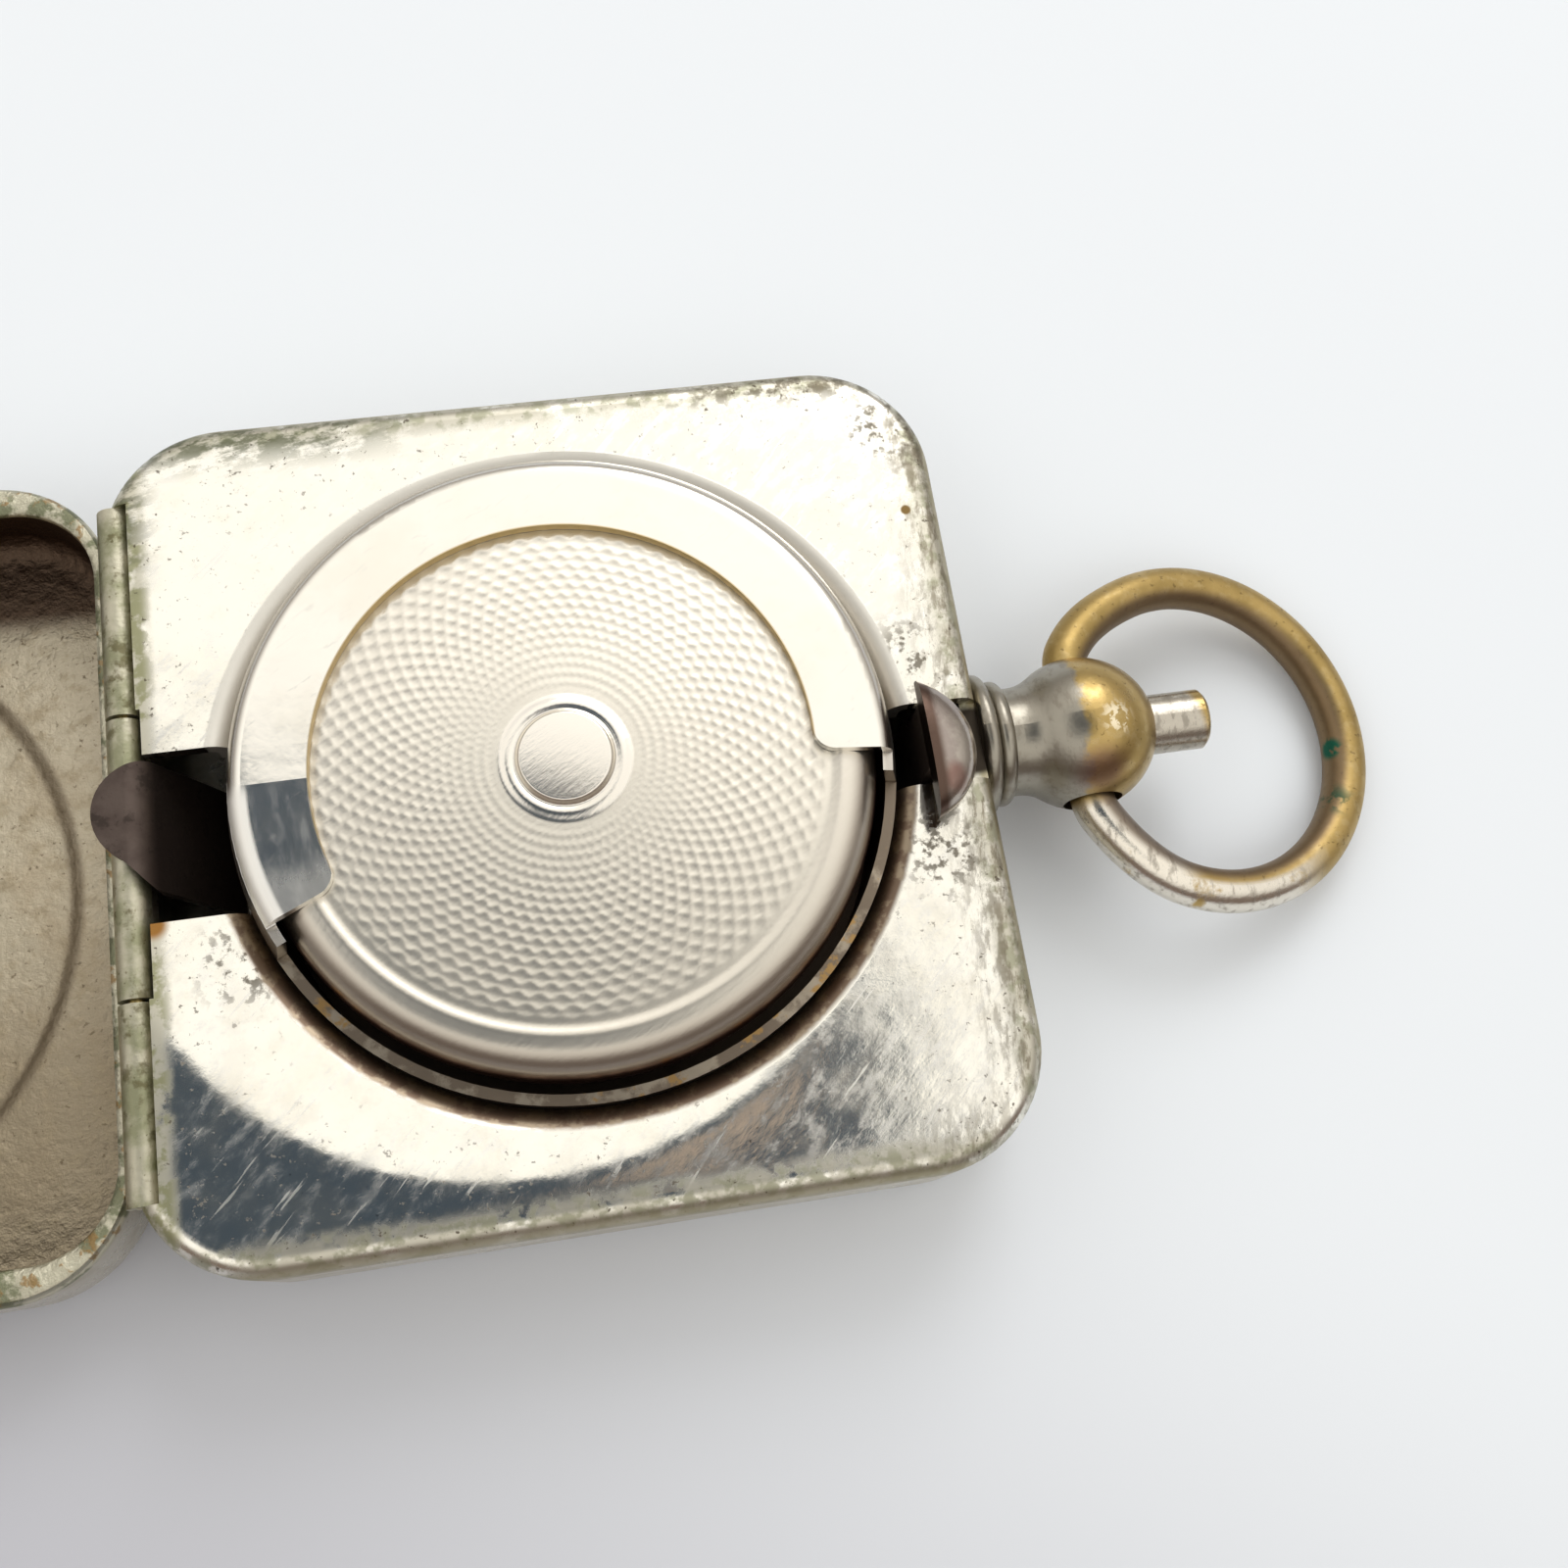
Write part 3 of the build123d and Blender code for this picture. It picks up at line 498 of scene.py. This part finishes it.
def plate_nickel():
    """Bright plate.  It dips towards the cup's hole in front, is scuffed all over, pitted and stained
    towards its edges and corners, and tarnished reddish-brown where it rolls down round the cup."""
    made = Finish("plate_nickel", (0.87, 0.845, 0.765), 0.09)
    tree = made.tree
    off_middle = math(tree, "MAXIMUM", math(tree, "ABSOLUTE", made.x), math(tree, "ABSOLUTE", made.y))
    edge = math(tree, "SUBTRACT", case_half, off_middle)
    hole = made.from_axis(cup_x, cup_y)
    made.coat([made.cloud(0.22, 0.4, 0.7), 0.6], (0.84, 0.80, 0.69), 0.16)
    made.coat([made.cloud(0.9, 0.52, 0.75), 0.35], (0.74, 0.70, 0.6), 0.2)
    scuffs = made.cloud(1.3, 0.45, 0.68, 6, 0.72, (0.75, 1.4, 0.7))
    made.coat([scuffs, made.cloud(0.4, 0.34, 0.5), 0.8], (0.9, 0.88, 0.82), 0.26)
    scratches = made.cloud(1.1, 0.63, 0.67, 3, 0.5, (0.8, 3.0, 0.25))
    made.coat([scratches, made.cloud(0.35, 0.45, 0.55), 0.6], (0.92, 0.9, 0.84), 0.4)
    haze = [made.cloud(0.7, 0.45, 0.65, 5, 0.65), ramp(tree, made.y, 8, -8), 0.2]
    made.coat(haze, (0.66, 0.62, 0.54), 0.3)
    top = times(tree, ramp(tree, made.y, 8, 13), ramp(tree, edge, 2.6, 0.7))
    right = times(tree, ramp(tree, edge, 3.0, 0.5), ramp(tree, made.x, 9, 14))
    border = ramp(tree, edge, 1.5, 0.8)
    made.coat([border, made.cloud(0.7, 0.3, 0.5), 0.85], (0.5, 0.47, 0.38), 0.4)
    made.coat([border, made.cloud(1.6, 0.46, 0.6), 0.7], (0.3, 0.3, 0.2), 0.45)
    left_border = ramp(tree, made.x, -14.1, -14.7)
    made.coat([left_border, made.cloud(0.8, 0.3, 0.48), 0.9], (0.6, 0.57, 0.46), 0.4)
    made.coat([left_border, made.cloud(1.1, 0.46, 0.58), 0.85], (0.3, 0.3, 0.16), 0.45)
    made.coat(
        [top, ramp(tree, made.x, -2, -8), made.cloud(0.9, 0.43, 0.56, 5, 0.7, (0.2, 1.5, 0.7)), 0.85],
        (0.12, 0.13, 0.075), 0.5,
    )
    made.coat(
        [top, ramp(tree, made.x, 2, 10), made.cloud(1.5, 0.45, 0.58, 6, 0.7), 0.8],
        (0.13, 0.11, 0.075), 0.5,
    )
    made.coat(
        [right, made.cloud(1.6, 0.45, 0.6, 6, 0.7, (1.45, 1.8, 0.6)), 0.8],
        (0.2, 0.17, 0.12), 0.45,
    )
    made.coat(
        [ramp(tree, edge, 7.5, 0.5), made.cloud(3.6, 0.63, 0.69, 4, 0.62), 0.85],
        (0.09, 0.07, 0.05), 0.5,
    )
    made.coat([made.cloud(0.3, 0.45, 0.6), made.cloud(5.0, 0.67, 0.72, 3, 0.6), 0.7], (0.16, 0.13, 0.09))
    for x, y in ((13.6, 3.2), (13.6, -4.6), (-11.6, -5.2), (14.2, 13.0)):
        made.coat(
            [made.near(x, y, plate_z, 0.5, 2.4), made.cloud(2.3, 0.5, 0.6), 0.85],
            (0.11, 0.09, 0.06), 0.5,
        )
    made.coat([made.near(14.62, 9.32, plate_z, 0.15, 0.25)], (0.2, 0.13, 0.05), 0.5)
    made.coat([made.near(-14.7, -3.5, plate_z, 0.25, 0.65)], (0.36, 0.18, 0.05), 0.6)
    made.coat([ramp(tree, edge, 0.4, 0.15), 0.7], (0.36, 0.31, 0.19), 0.4)
    # Painted shade: near black at the end of the catch's slot, by the pendant.
    made.coat([made.near(15.7, -0.2, 6.2, 1.2, 1.5)], (0.05, 0.04, 0.03), 0.6)
    rolled = times(tree, ramp(tree, hole, 13.1, 12.85), ramp(tree, made.y, 3, -3))
    made.coat([ramp(tree, hole, 13.2, 13.0), ramp(tree, made.y, -3, 3)], (0.74, 0.71, 0.64), 0.5)
    made.coat([rolled], (0.17, 0.12, 0.085), 0.42)
    made.coat([rolled, made.cloud(1.6, 0.46, 0.6)], (0.3, 0.24, 0.17), 0.35)
    inside_dip = math(tree, "SUBTRACT", math(tree, "MULTIPLY_ADD", made.x, -0.17, 14.3), hole)
    dip = math(tree, "SMOOTH_MAX", inside_dip, 0.0, 0.8)
    made.rise(times(tree, dip, ramp(tree, made.y, 3, -2)), -0.15)
    made.rise(noise(tree, made.place, 0.4, 2, 0.5), 0.02)
    made.rise(noise(tree, made.place, 1.6, 4, 0.6, (0.75, 1.6, 0.6)), 0.004)
    made.rise(noise(tree, made.place, 5.0, 4, 0.6), 0.0016)
    return made.done()


def cup_nickel():
    """Satin plate.  The lip's outer edge is rounded and its left end is bent down a little, brass shows on
    the lip's cut edge, and the front rim is brown.  The inside of the drum is painted dark as shade, and
    the outer band of the lip's left end is painted paler as a highlight."""
    made = Finish("cup_nickel", (0.86, 0.83, 0.76), 0.15)
    tree = made.tree
    axis = made.from_axis(cup_x, cup_y)
    on_lip = ramp(tree, made.z, 8.2, 8.4)
    made.coat([made.cloud(0.25, 0.42, 0.66), 0.5], (0.8, 0.76, 0.66), 0.22)
    made.coat([made.cloud(1.6, 0.58, 0.68, 5, 0.7, (0.6, 2.0, 0.5)), 0.35], (0.72, 0.7, 0.64), 0.3)
    made.coat([ramp(tree, axis, 11.3, 11.7), 0.85], (0.5, 0.46, 0.41), 0.3)
    made.coat([ramp(tree, axis, 9.06, 8.97), ramp(tree, made.z, 8.3, 8.45)], (0.45, 0.33, 0.14), 0.4)
    # Painted shade: the inside of the drum below the plate is painted near black.
    made.coat([ramp(tree, axis, 12.0, 11.85), ramp(tree, made.z, 6.75, 6.6)], (0.1, 0.075, 0.055), 0.4)
    rim = times(
        tree, ramp(tree, made.z, 7.0, 6.85), ramp(tree, made.z, 6.2, 6.5), ramp(tree, axis, 11.6, 11.7),
        ramp(tree, made.y, 3, 0),
    )
    made.coat([rim], (0.2, 0.16, 0.12), 0.34)
    made.coat([rim, made.cloud(0.8, 0.48, 0.6)], (0.4, 0.34, 0.26), 0.3)
    made.coat([rim, made.cloud(1.1, 0.56, 0.64)], (0.4, 0.25, 0.1), 0.3)
    outside = math(tree, "MAXIMUM", math(tree, "SUBTRACT", axis, 11.0), 0.0)
    made.rise(times(tree, outside, outside, on_lip), -0.14)
    # The lip's left end: mottled scuffs, a paler part further forward, and a painted highlight along its
    # outer band.
    lip_end_wear_and_sheen = times(tree, on_lip, ramp(tree, made.x, -7.4, -8.2), ramp(tree, made.y, 1.0, 0.0))
    made.coat(
        [lip_end_wear_and_sheen, made.cloud(0.9, 0.42, 0.68, 5, 0.7, (1.7, 1.8, 0.5)), 0.55],
        (0.9, 0.88, 0.84), 0.3,
    )
    made.coat([lip_end_wear_and_sheen, ramp(tree, made.y, -1.8, -3.4), 0.5], (0.85, 0.83, 0.78), 0.4)
    # Painted highlight: the outer band of the lip's left end is painted paler and rougher, for the light its
    # rounded edge catches.
    made.coat([lip_end_wear_and_sheen, ramp(tree, axis, 11.0, 11.2)], (0.95, 0.93, 0.88), 0.55)
    bent = math(tree, "MAXIMUM", math(tree, "SUBTRACT", 0.6, made.y), 0.0)
    made.rise(times(tree, bent, ramp(tree, made.x, -7.4, -7.8), on_lip), -0.075)
    made.rise(noise(tree, made.place, 0.5, 3, 0.5), 0.02)
    made.rise(noise(tree, made.place, 6.0, 4, 0.6), 0.0015)
    return made.done()


def platform_nickel():
    """Satin plate with a faint brushed grain and a brighter boss.  Painted shade darkens it towards the front
    and on the front of the shoulder, and a painted dark reddish-brown reflection covers the skirt."""
    made = Finish("platform_nickel", (0.83, 0.785, 0.69), 0.31)
    tree = made.tree
    axis = made.from_axis(cup_x, cup_y)
    made.coat([made.cloud(0.3, 0.4, 0.65), 0.5], (0.77, 0.72, 0.63), 0.36)
    made.coat([ramp(tree, axis, 2.5, 2.35)], (0.86, 0.82, 0.75), 0.18)
    made.coat([ramp(tree, axis, 9.5, 9.9)], (0.74, 0.69, 0.61), 0.3)
    # Painted shade: darker towards the front.
    made.coat([ramp(tree, made.y, 5, -10), 0.75], (0.6, 0.56, 0.48))
    # Painted shade on the front of the shoulder.
    made.coat([ramp(tree, axis, 10.2, 10.9), ramp(tree, made.y, 3, -3), 0.8], (0.34, 0.29, 0.24), 0.3)
    # Painted reflection: the skirt is painted dark reddish brown.
    made.coat([ramp(tree, made.z, 7.85, 7.3), 0.95], (0.2, 0.11, 0.085), 0.3)
    made.rise(noise(tree, made.place, 3.0, 5, 0.65, (0.6, 2.2, 0.5)), 0.009)
    made.rise(noise(tree, made.place, 9.0, 3, 0.6), 0.0015)
    return made.done()


def dull_plate(name):
    """The outside of the case: plate gone dull in soft clouds, with a few small stains."""
    made = Finish(name, (0.66, 0.62, 0.53), 0.27)
    tree = made.tree
    made.coat([made.cloud(0.22, 0.38, 0.68)], (0.54, 0.49, 0.4), 0.34)
    made.coat([made.cloud(0.9, 0.5, 0.74), 0.45], (0.42, 0.37, 0.27), 0.4)
    made.coat([made.cloud(2.6, 0.62, 0.72, 5, 0.7), 0.5], (0.22, 0.18, 0.11), 0.45)
    made.coat([made.cloud(1.2, 0.64, 0.68, 3, 0.5, (0.5, 3.0, 0.2)), 0.4], (0.78, 0.75, 0.68), 0.4)
    return made


def lid_nickel():
    """Outside, dull plate like the case's.  Inside, a pebbled skin, with painted dark brown shade on the
    walls and a painted shadow of the back wall on the floor beside it.  The rim is mottled cream, green and
    rust."""
    made = dull_plate("lid_nickel")
    tree = made.tree
    low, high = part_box("lid_shell")
    middle_x, middle_y = (low.x + high.x) / 2 / mm, (low.y + high.y) / 2 / mm
    straight_x, straight_y = (high.x - low.x) / 2 / mm - lid_corner, (high.y - low.y) / 2 / mm - lid_corner

    def past_straight(place, middle, straight):
        """Distance past the end of a straight side, along one direction."""
        away = math(tree, "ABSOLUTE", math(tree, "SUBTRACT", place, middle))
        return math(tree, "MAXIMUM", math(tree, "SUBTRACT", away, straight), 0.0)

    past_x = past_straight(made.x, middle_x, straight_x)
    past_y = past_straight(made.y, middle_y, straight_y)
    past = add(tree, "ShaderNodeCombineXYZ", {0: past_x, 1: past_y}).outputs[0]
    from_corner = add(tree, "ShaderNodeVectorMath", {0: past}, operation="LENGTH").outputs["Value"]
    foot_height = circle_step + lid_foot_round
    into_side = math(tree, "MAXIMUM", math(tree, "SUBTRACT", from_corner, lid_corner - lid_foot_round), 0.0)
    below_foot = math(tree, "MAXIMUM", math(tree, "SUBTRACT", foot_height, made.z), 0.0)
    section = add(tree, "ShaderNodeCombineXYZ", {0: into_side, 1: below_foot}).outputs[0]
    section_reach = add(tree, "ShaderNodeVectorMath", {0: section}, operation="LENGTH").outputs["Value"]
    inside = ramp(tree, section_reach, lid_foot_round - 0.05, lid_foot_round - 0.18)
    made.coat([inside], (0.5, 0.44, 0.33), 0.42)
    made.coat([inside, made.cloud(0.35, 0.4, 0.65)], (0.46, 0.39, 0.28), 0.48)
    made.coat([inside, ramp(tree, made.y, 1, -9), 0.75], (0.25, 0.2, 0.13), 0.45)
    made.coat([inside, made.cloud(1.4, 0.5, 0.68), 0.6], (0.36, 0.3, 0.2), 0.5)
    made.coat([inside, made.cloud(3.4, 0.62, 0.7, 4, 0.6), 0.8], (0.18, 0.14, 0.09), 0.55)
    from_middle = made.from_axis(middle_x, middle_y)
    made.coat(
        [inside, ramp(tree, from_middle, 12.15, 12.55), ramp(tree, from_middle, 13.1, 12.8), 0.75],
        (0.2, 0.16, 0.11), 0.5,
    )
    # Painted shade: the inner walls, above the floor, are painted dark brown.
    made.coat([inside, ramp(tree, made.z, 0.95, 1.8), 0.95], (0.07, 0.04, 0.027), 0.36)
    # Painted shadow of the back wall on the floor beside it.
    made.coat(
        [inside, ramp(tree, made.y, 10.4, 11.7), ramp(tree, made.z, 3.8, 3.4), 0.95],
        (0.085, 0.052, 0.035), 0.4,
    )
    rim = ramp(tree, made.z, 4.3, 4.6)
    made.coat([rim], (0.56, 0.53, 0.41), 0.38)
    made.coat([rim, made.cloud(0.9, 0.47, 0.57), 0.9], (0.19, 0.2, 0.12), 0.45)
    made.coat([rim, made.cloud(1.5, 0.56, 0.63), 0.8], (0.32, 0.2, 0.08), 0.5)
    made.rise(times(tree, inside, noise(tree, made.place, 1.5, 6, 0.62)), 0.16)
    made.rise(times(tree, inside, noise(tree, made.place, 0.35, 2, 0.5)), 0.12)
    made.rise(noise(tree, made.place, 3.0, 5, 0.62), 0.012)
    return made.done()


def brass_and_nickel(name, nickel_share, nickel_colour, nickel_roughness, roughness=0.3):
    """Old brass with what is left of its nickel.  nickel_share gives the nickel from the finish."""
    made = Finish(name, (0.46, 0.325, 0.125), roughness)
    tree = made.tree
    made.coat([made.cloud(0.5, 0.38, 0.66)], (0.37, 0.26, 0.095), roughness + 0.06)
    made.coat([made.cloud(1.8, 0.5, 0.66), 0.6], (0.48, 0.36, 0.17), roughness - 0.06)
    made.coat([made.cloud(3.5, 0.6, 0.68), 0.6], (0.15, 0.1, 0.04), 0.5)
    share = nickel_share(made)
    made.coat([share], nickel_colour, nickel_roughness)
    made.coat(
        [share, made.cloud(2.4, 0.5, 0.64, 5, 0.65, (1.57, 2.2, 0.9)), 0.6],
        (0.24, 0.21, 0.17), 0.4,
    )
    made.rise(noise(tree, made.place, 3.0, 5, 0.65), 0.012)
    return made


def pendant_nickel():
    """Nickel on the neck and the near half of the ball, up to a ragged line, and brass beyond it."""
    def neck(made):
        ragged = math(made.tree, "MULTIPLY", noise(made.tree, made.place, 1.2, 4, 0.6), 1.4)
        return ramp(made.tree, math(made.tree, "ADD", made.x, ragged), 20.9, 20.5)

    made = brass_and_nickel("pendant_nickel", neck, (0.32, 0.295, 0.245), 0.3)
    tree = made.tree
    made.coat([made.near(20.5, -2.0, 5.9, 0.4, 1.4), 0.75], (0.2, 0.11, 0.08), 0.32)
    # Painted shade on the lower front of the ball, dark reddish brown.
    made.coat([ramp(tree, made.z, 3.6, 2.0), ramp(tree, made.y, 0.5, -1.5), 0.8], (0.2, 0.14, 0.1), 0.28)
    made.coat([made.near(21.3, -0.2, 6.8, 0.3, 0.9), made.cloud(3.2, 0.48, 0.56)], (0.8, 0.7, 0.5), 0.2)
    return made.done()


def bow_brass():
    """Brass, with painted brown shade on the loop's inner side, and nickel left on the lower leg's outer
    side.
    """
    def leg(made):
        loop = made.from_axis(loop_x, loop_y)
        outer = math(
            made.tree, "MAXIMUM", ramp(made.tree, loop, 6.3, 6.6), ramp(made.tree, made.x, 24.6, 23.2)
        )
        low = times(made.tree, ramp(made.tree, made.y, -2.6, -3.2), ramp(made.tree, made.x, 30.5, 28.0))
        return times(made.tree, low, outer, made.cloud(0.6, 0.3, 0.42))

    made = brass_and_nickel("bow_brass", leg, (0.74, 0.69, 0.6), 0.18, 0.4)
    tree = made.tree
    # Painted shade on the loop's inner side.
    made.coat([ramp(tree, made.from_axis(loop_x, loop_y), 6.45, 6.0), 0.8], (0.16, 0.11, 0.075), 0.45)
    made.coat(
        [made.near(31.95, -1.1, 1.3, 0.3, 0.6), made.cloud(1.5, 0.36, 0.46)],
        (0.02, 0.12, 0.075), 0.6,
    )
    made.coat(
        [made.near(31.4, -3.5, 1.5, 0.3, 1.0), made.cloud(1.5, 0.44, 0.54)],
        (0.05, 0.1, 0.06), 0.6,
    )
    return made.done()


def pin_nickel():
    """Nickel, worn to brass at the end that is pressed."""
    def shank(made):
        return ramp(made.tree, math(made.tree, "MULTIPLY_ADD", made.y, 0.25, made.x), 25.5, 25.1)

    return brass_and_nickel("pin_nickel", shank, (0.5, 0.46, 0.39), 0.26, 0.25).done()


def nose_steel():
    """Bright steel, with painted dark shade on the flat face towards the cup and a painted reddish
    reflection low on the round side.
    """
    made = Finish("nose_steel", (0.44, 0.395, 0.345), 0.16)
    tree = made.tree
    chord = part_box("catch_nose")[0].x / mm
    made.coat([made.cloud(0.9, 0.4, 0.6)], (0.34, 0.29, 0.26), 0.2)
    # Painted reflection, reddish, low on the round side.
    made.coat([made.near(chord + 0.7, -2.3, 8.6, 0.3, 0.8), 0.7], (0.2, 0.09, 0.07), 0.25)
    # Painted shade on the flat face towards the cup.
    made.coat([ramp(tree, made.x, chord + 0.6, chord + 0.25)], (0.1, 0.065, 0.05), 0.3)
    made.coat([made.near(chord + 1.5, -0.2, 8.75, 0.12, 0.22)], (0.5, 0.32, 0.12), 0.3)
    made.rise(noise(tree, made.place, 2.0, 4, 0.6), 0.012)
    return made.done()


def mottled(name, colour, second, dark, roughness, relief):
    """Metal in two tones of colour, with dark stains and specks."""
    made = Finish(name, colour, roughness)
    tree = made.tree
    made.coat([made.cloud(0.6, 0.38, 0.62)], second, roughness + 0.06)
    made.coat([made.cloud(1.3, 0.54, 0.66), 0.7], dark, roughness + 0.15)
    made.coat([made.cloud(4.2, 0.64, 0.72), 0.7], dark, roughness + 0.2)
    made.rise(noise(tree, made.place, 3.0, 5, 0.62), relief)
    return made.done()


def case_nickel():
    """Dull plate, with painted shade where the catch's slot runs out by the pendant."""
    made = dull_plate("case_nickel")
    # Painted shade: the slot's end by the pendant is painted near black.
    made.coat([made.near(15.6, -0.9, 6.3, 1.6, 1.9)], (0.05, 0.04, 0.03), 0.6)
    made.rise(noise(made.tree, made.place, 3.0, 5, 0.62), 0.01)
    return made.done()


finishes = {
    "nickel_case": case_nickel(),
    "nickel_plate": plate_nickel(),
    "nickel_cup": cup_nickel(),
    "nickel_platform": platform_nickel(),
    "nickel_lid": lid_nickel(),
    "nickel_hinge": mottled(
        "hinge_nickel", (0.52, 0.49, 0.38), (0.3, 0.3, 0.19), (0.13, 0.11, 0.05), roughness=0.45, relief=0.03
    ),
    "nickel_pendant": pendant_nickel(),
    "nickel_pin": pin_nickel(),
    "polished_steel": mottled(
        "bright_steel", (0.5, 0.44, 0.4), (0.4, 0.34, 0.3), (0.2, 0.12, 0.08), roughness=0.16, relief=0.006
    ),
    "blued_steel": mottled(
        "brown_steel", (0.1, 0.077, 0.066), (0.08, 0.06, 0.052), (0.045, 0.035, 0.03),
        roughness=0.5, relief=0.008,
    ),
    "spring_wire": mottled(
        "wire_steel", (0.3, 0.28, 0.26), (0.22, 0.2, 0.18), (0.06, 0.05, 0.04), roughness=0.35, relief=0.004
    ),
    "worn_brass": bow_brass(),
    "brass_pin": mottled(
        "turned_brass", (0.6, 0.45, 0.2), (0.5, 0.38, 0.16), (0.2, 0.14, 0.06), roughness=0.25, relief=0.004
    ),
}


# ---- pieces and their finishes ----
for node in nodes.values():
    for slot in node.material_slots:
        slot.material = finishes[slot.material.name.split(".")[0]]

platform_pan = engine_turned_platform()
platform_pan.data.materials.append(finishes["nickel_platform"])
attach(platform_pan, "platform")
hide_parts("coin_platform")

spring_coil = sprung_coil()
spring_coil.data.materials.append(finishes["spring_wire"])
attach(spring_coil, "base")
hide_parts("platform_spring")
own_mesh(spring_coil)

lid_pan = swept_lid()
lid_pan.data.materials.append(finishes["nickel_lid"])
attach(lid_pan, "lid")
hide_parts("lid_shell")

nose_dome = domed_nose()
nose_dome.data.materials.append(nose_steel())
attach(nose_dome, "catch")
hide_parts("catch_nose")

bow_loop = slipped_bow()
bow_loop.data.materials.append(finishes["worn_brass"])
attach(bow_loop, "bow")
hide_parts("bow")

# ---- floor, light and camera ----
floor_mesh = bpy.data.meshes.new("table_top")
half_side = 0.6               # metres
corner_signs = ((-1, -1), (1, -1), (1, 1), (-1, 1))
floor_mesh.from_pydata([(half_side * x, half_side * y, 0) for x, y in corner_signs], [], [(0, 1, 2, 3)])
table_top = bpy.data.objects.new("table_top", floor_mesh)
bpy.context.scene.collection.objects.link(table_top)
table_paper = bpy.data.materials.new("table_paper")
table_paper.use_nodes = True
paper = table_paper.node_tree
own_place = paper.nodes.new("ShaderNodeTexCoord").outputs["Object"]
paper_place = add(
    paper, "ShaderNodeVectorMath", {0: own_place, "Scale": 1000.0}, operation="SCALE"
).outputs[0]
paper_x, paper_y = add(paper, "ShaderNodeSeparateXYZ", {0: paper_place}).outputs[:2]
towards_corner = math(paper, "MULTIPLY_ADD", paper_x, 0.9, paper_y)
from_part = add(paper, "ShaderNodeVectorMath", {0: paper_place}, operation="LENGTH").outputs["Value"]
# Painted shadow: the paper is painted darker towards -x and -y, fading out far from the case.
painted_corner_shadow = times(paper, ramp(paper, towards_corner, 12, -62), ramp(paper, from_part, 320, 60))
paper_tone = blend(paper, painted_corner_shadow, (0.845, 0.885, 0.93), (0.5, 0.5, 0.55))
paper_shader = paper.nodes["Principled BSDF"]
paper.links.new(paper_tone, paper_shader.inputs["Base Color"])
paper_shader.inputs["Roughness"].default_value = 0.9
paper_shader.inputs["Specular IOR Level"].default_value = 0.2
floor_mesh.materials.append(table_paper)

# The sky is pale overhead and dim at the sides.  A warm dark sitter stands at the front, and a dark patch
# overhead with a warm oval in it, like a hand, is what the front of the plate reflects.
world = bpy.data.worlds.new("studio")
bpy.context.scene.world = world
world.use_nodes = True
sky = world.node_tree
sky.nodes.clear()
direction = sky.nodes.new("ShaderNodeTexCoord").outputs["Generated"]
to_x, to_y, to_z = add(sky, "ShaderNodeSeparateXYZ", {0: direction}).outputs
above = math(sky, "MAXIMUM", to_z, 0.02)
over_x = math(sky, "DIVIDE", to_x, above)
over_y = math(sky, "DIVIDE", to_y, above)
dome = blend(sky, ramp(sky, to_z, 0.0, 0.85), (0.4, 0.37, 0.34), (1.25, 1.22, 1.16))
dome = blend(sky, ramp(sky, to_z, 0.0, -0.1), dome, (0.7, 0.68, 0.68))
sitter = times(
    sky, ramp(sky, to_y, -0.12, -0.6), ramp(sky, to_z, -0.02, 0.02), ramp(sky, to_z, 0.62, 0.36)
)
dome = blend(sky, sitter, dome, (0.22, 0.17, 0.145))
slant = math(sky, "MULTIPLY_ADD", over_x, 0.4, over_y)
shade = times(
    sky, ramp(sky, slant, 0.255, 0.215), ramp(sky, over_x, 0.19, 0.15), ramp(sky, over_x, -0.6, -0.38),
    ramp(sky, over_y, -0.5, -0.2),
)
dome = blend(sky, shade, dome, (0.06, 0.08, 0.105))
hand_x = math(sky, "SUBTRACT", over_x, 0.043)
hand_y = math(sky, "SUBTRACT", over_y, 0.1)
along = math(sky, "MULTIPLY_ADD", hand_x, 12.0, math(sky, "MULTIPLY", hand_y, 5.2))
across = math(sky, "MULTIPLY_ADD", hand_x, -12.0, math(sky, "MULTIPLY", hand_y, 27.0))
hand_away = math(sky, "SQRT", math(sky, "ADD", times(sky, along, along), times(sky, across, across)))
dome = blend(sky, ramp(sky, hand_away, 1.15, 0.75), dome, (0.5, 0.4, 0.32))
backdrop = add(sky, "ShaderNodeBackground", {"Color": dome, "Strength": 1.0})
add(sky, "ShaderNodeOutputWorld", {"Surface": backdrop.outputs[0]})


def soft_lamp(name, place, aim, size, power, colour):
    """A round lamp at a place in metres, turned towards another."""
    light = bpy.data.lights.new(name, "AREA")
    light.shape = "DISK"
    light.size = size
    light.energy = power
    light.color = colour
    lamp = bpy.data.objects.new(name, light)
    lamp.location = place
    lamp.rotation_mode = "QUATERNION"
    lamp.rotation_quaternion = (Vector(aim) - Vector(place)).to_track_quat("-Z", "Y")
    bpy.context.scene.collection.objects.link(lamp)


soft_lamp("key_lamp", (0.16, 0.38, 0.36), (0, 0, 0), 0.3, 0.75, (0.97, 0.98, 1.0))

camera_data = bpy.data.cameras.new("camera")
camera_data.lens = 38.25
camera_data.sensor_width = 36
camera_data.clip_start = 0.001
camera = bpy.data.objects.new("camera", camera_data)
camera.location = Vector((0.583, -18.540, 65.663)) * mm
camera_aim = Vector((8.113, -1.220, 6.8)) * mm
camera.rotation_mode = "QUATERNION"
camera.rotation_quaternion = (camera_aim - camera.location).to_track_quat("-Z", "Y") @ Quaternion(
    (0, 0, 1), radians(15.299)
)
bpy.context.scene.collection.objects.link(camera)
bpy.context.scene.camera = camera
bpy.context.scene.view_settings.view_transform = "Standard"

bpy.context.view_layer.update()
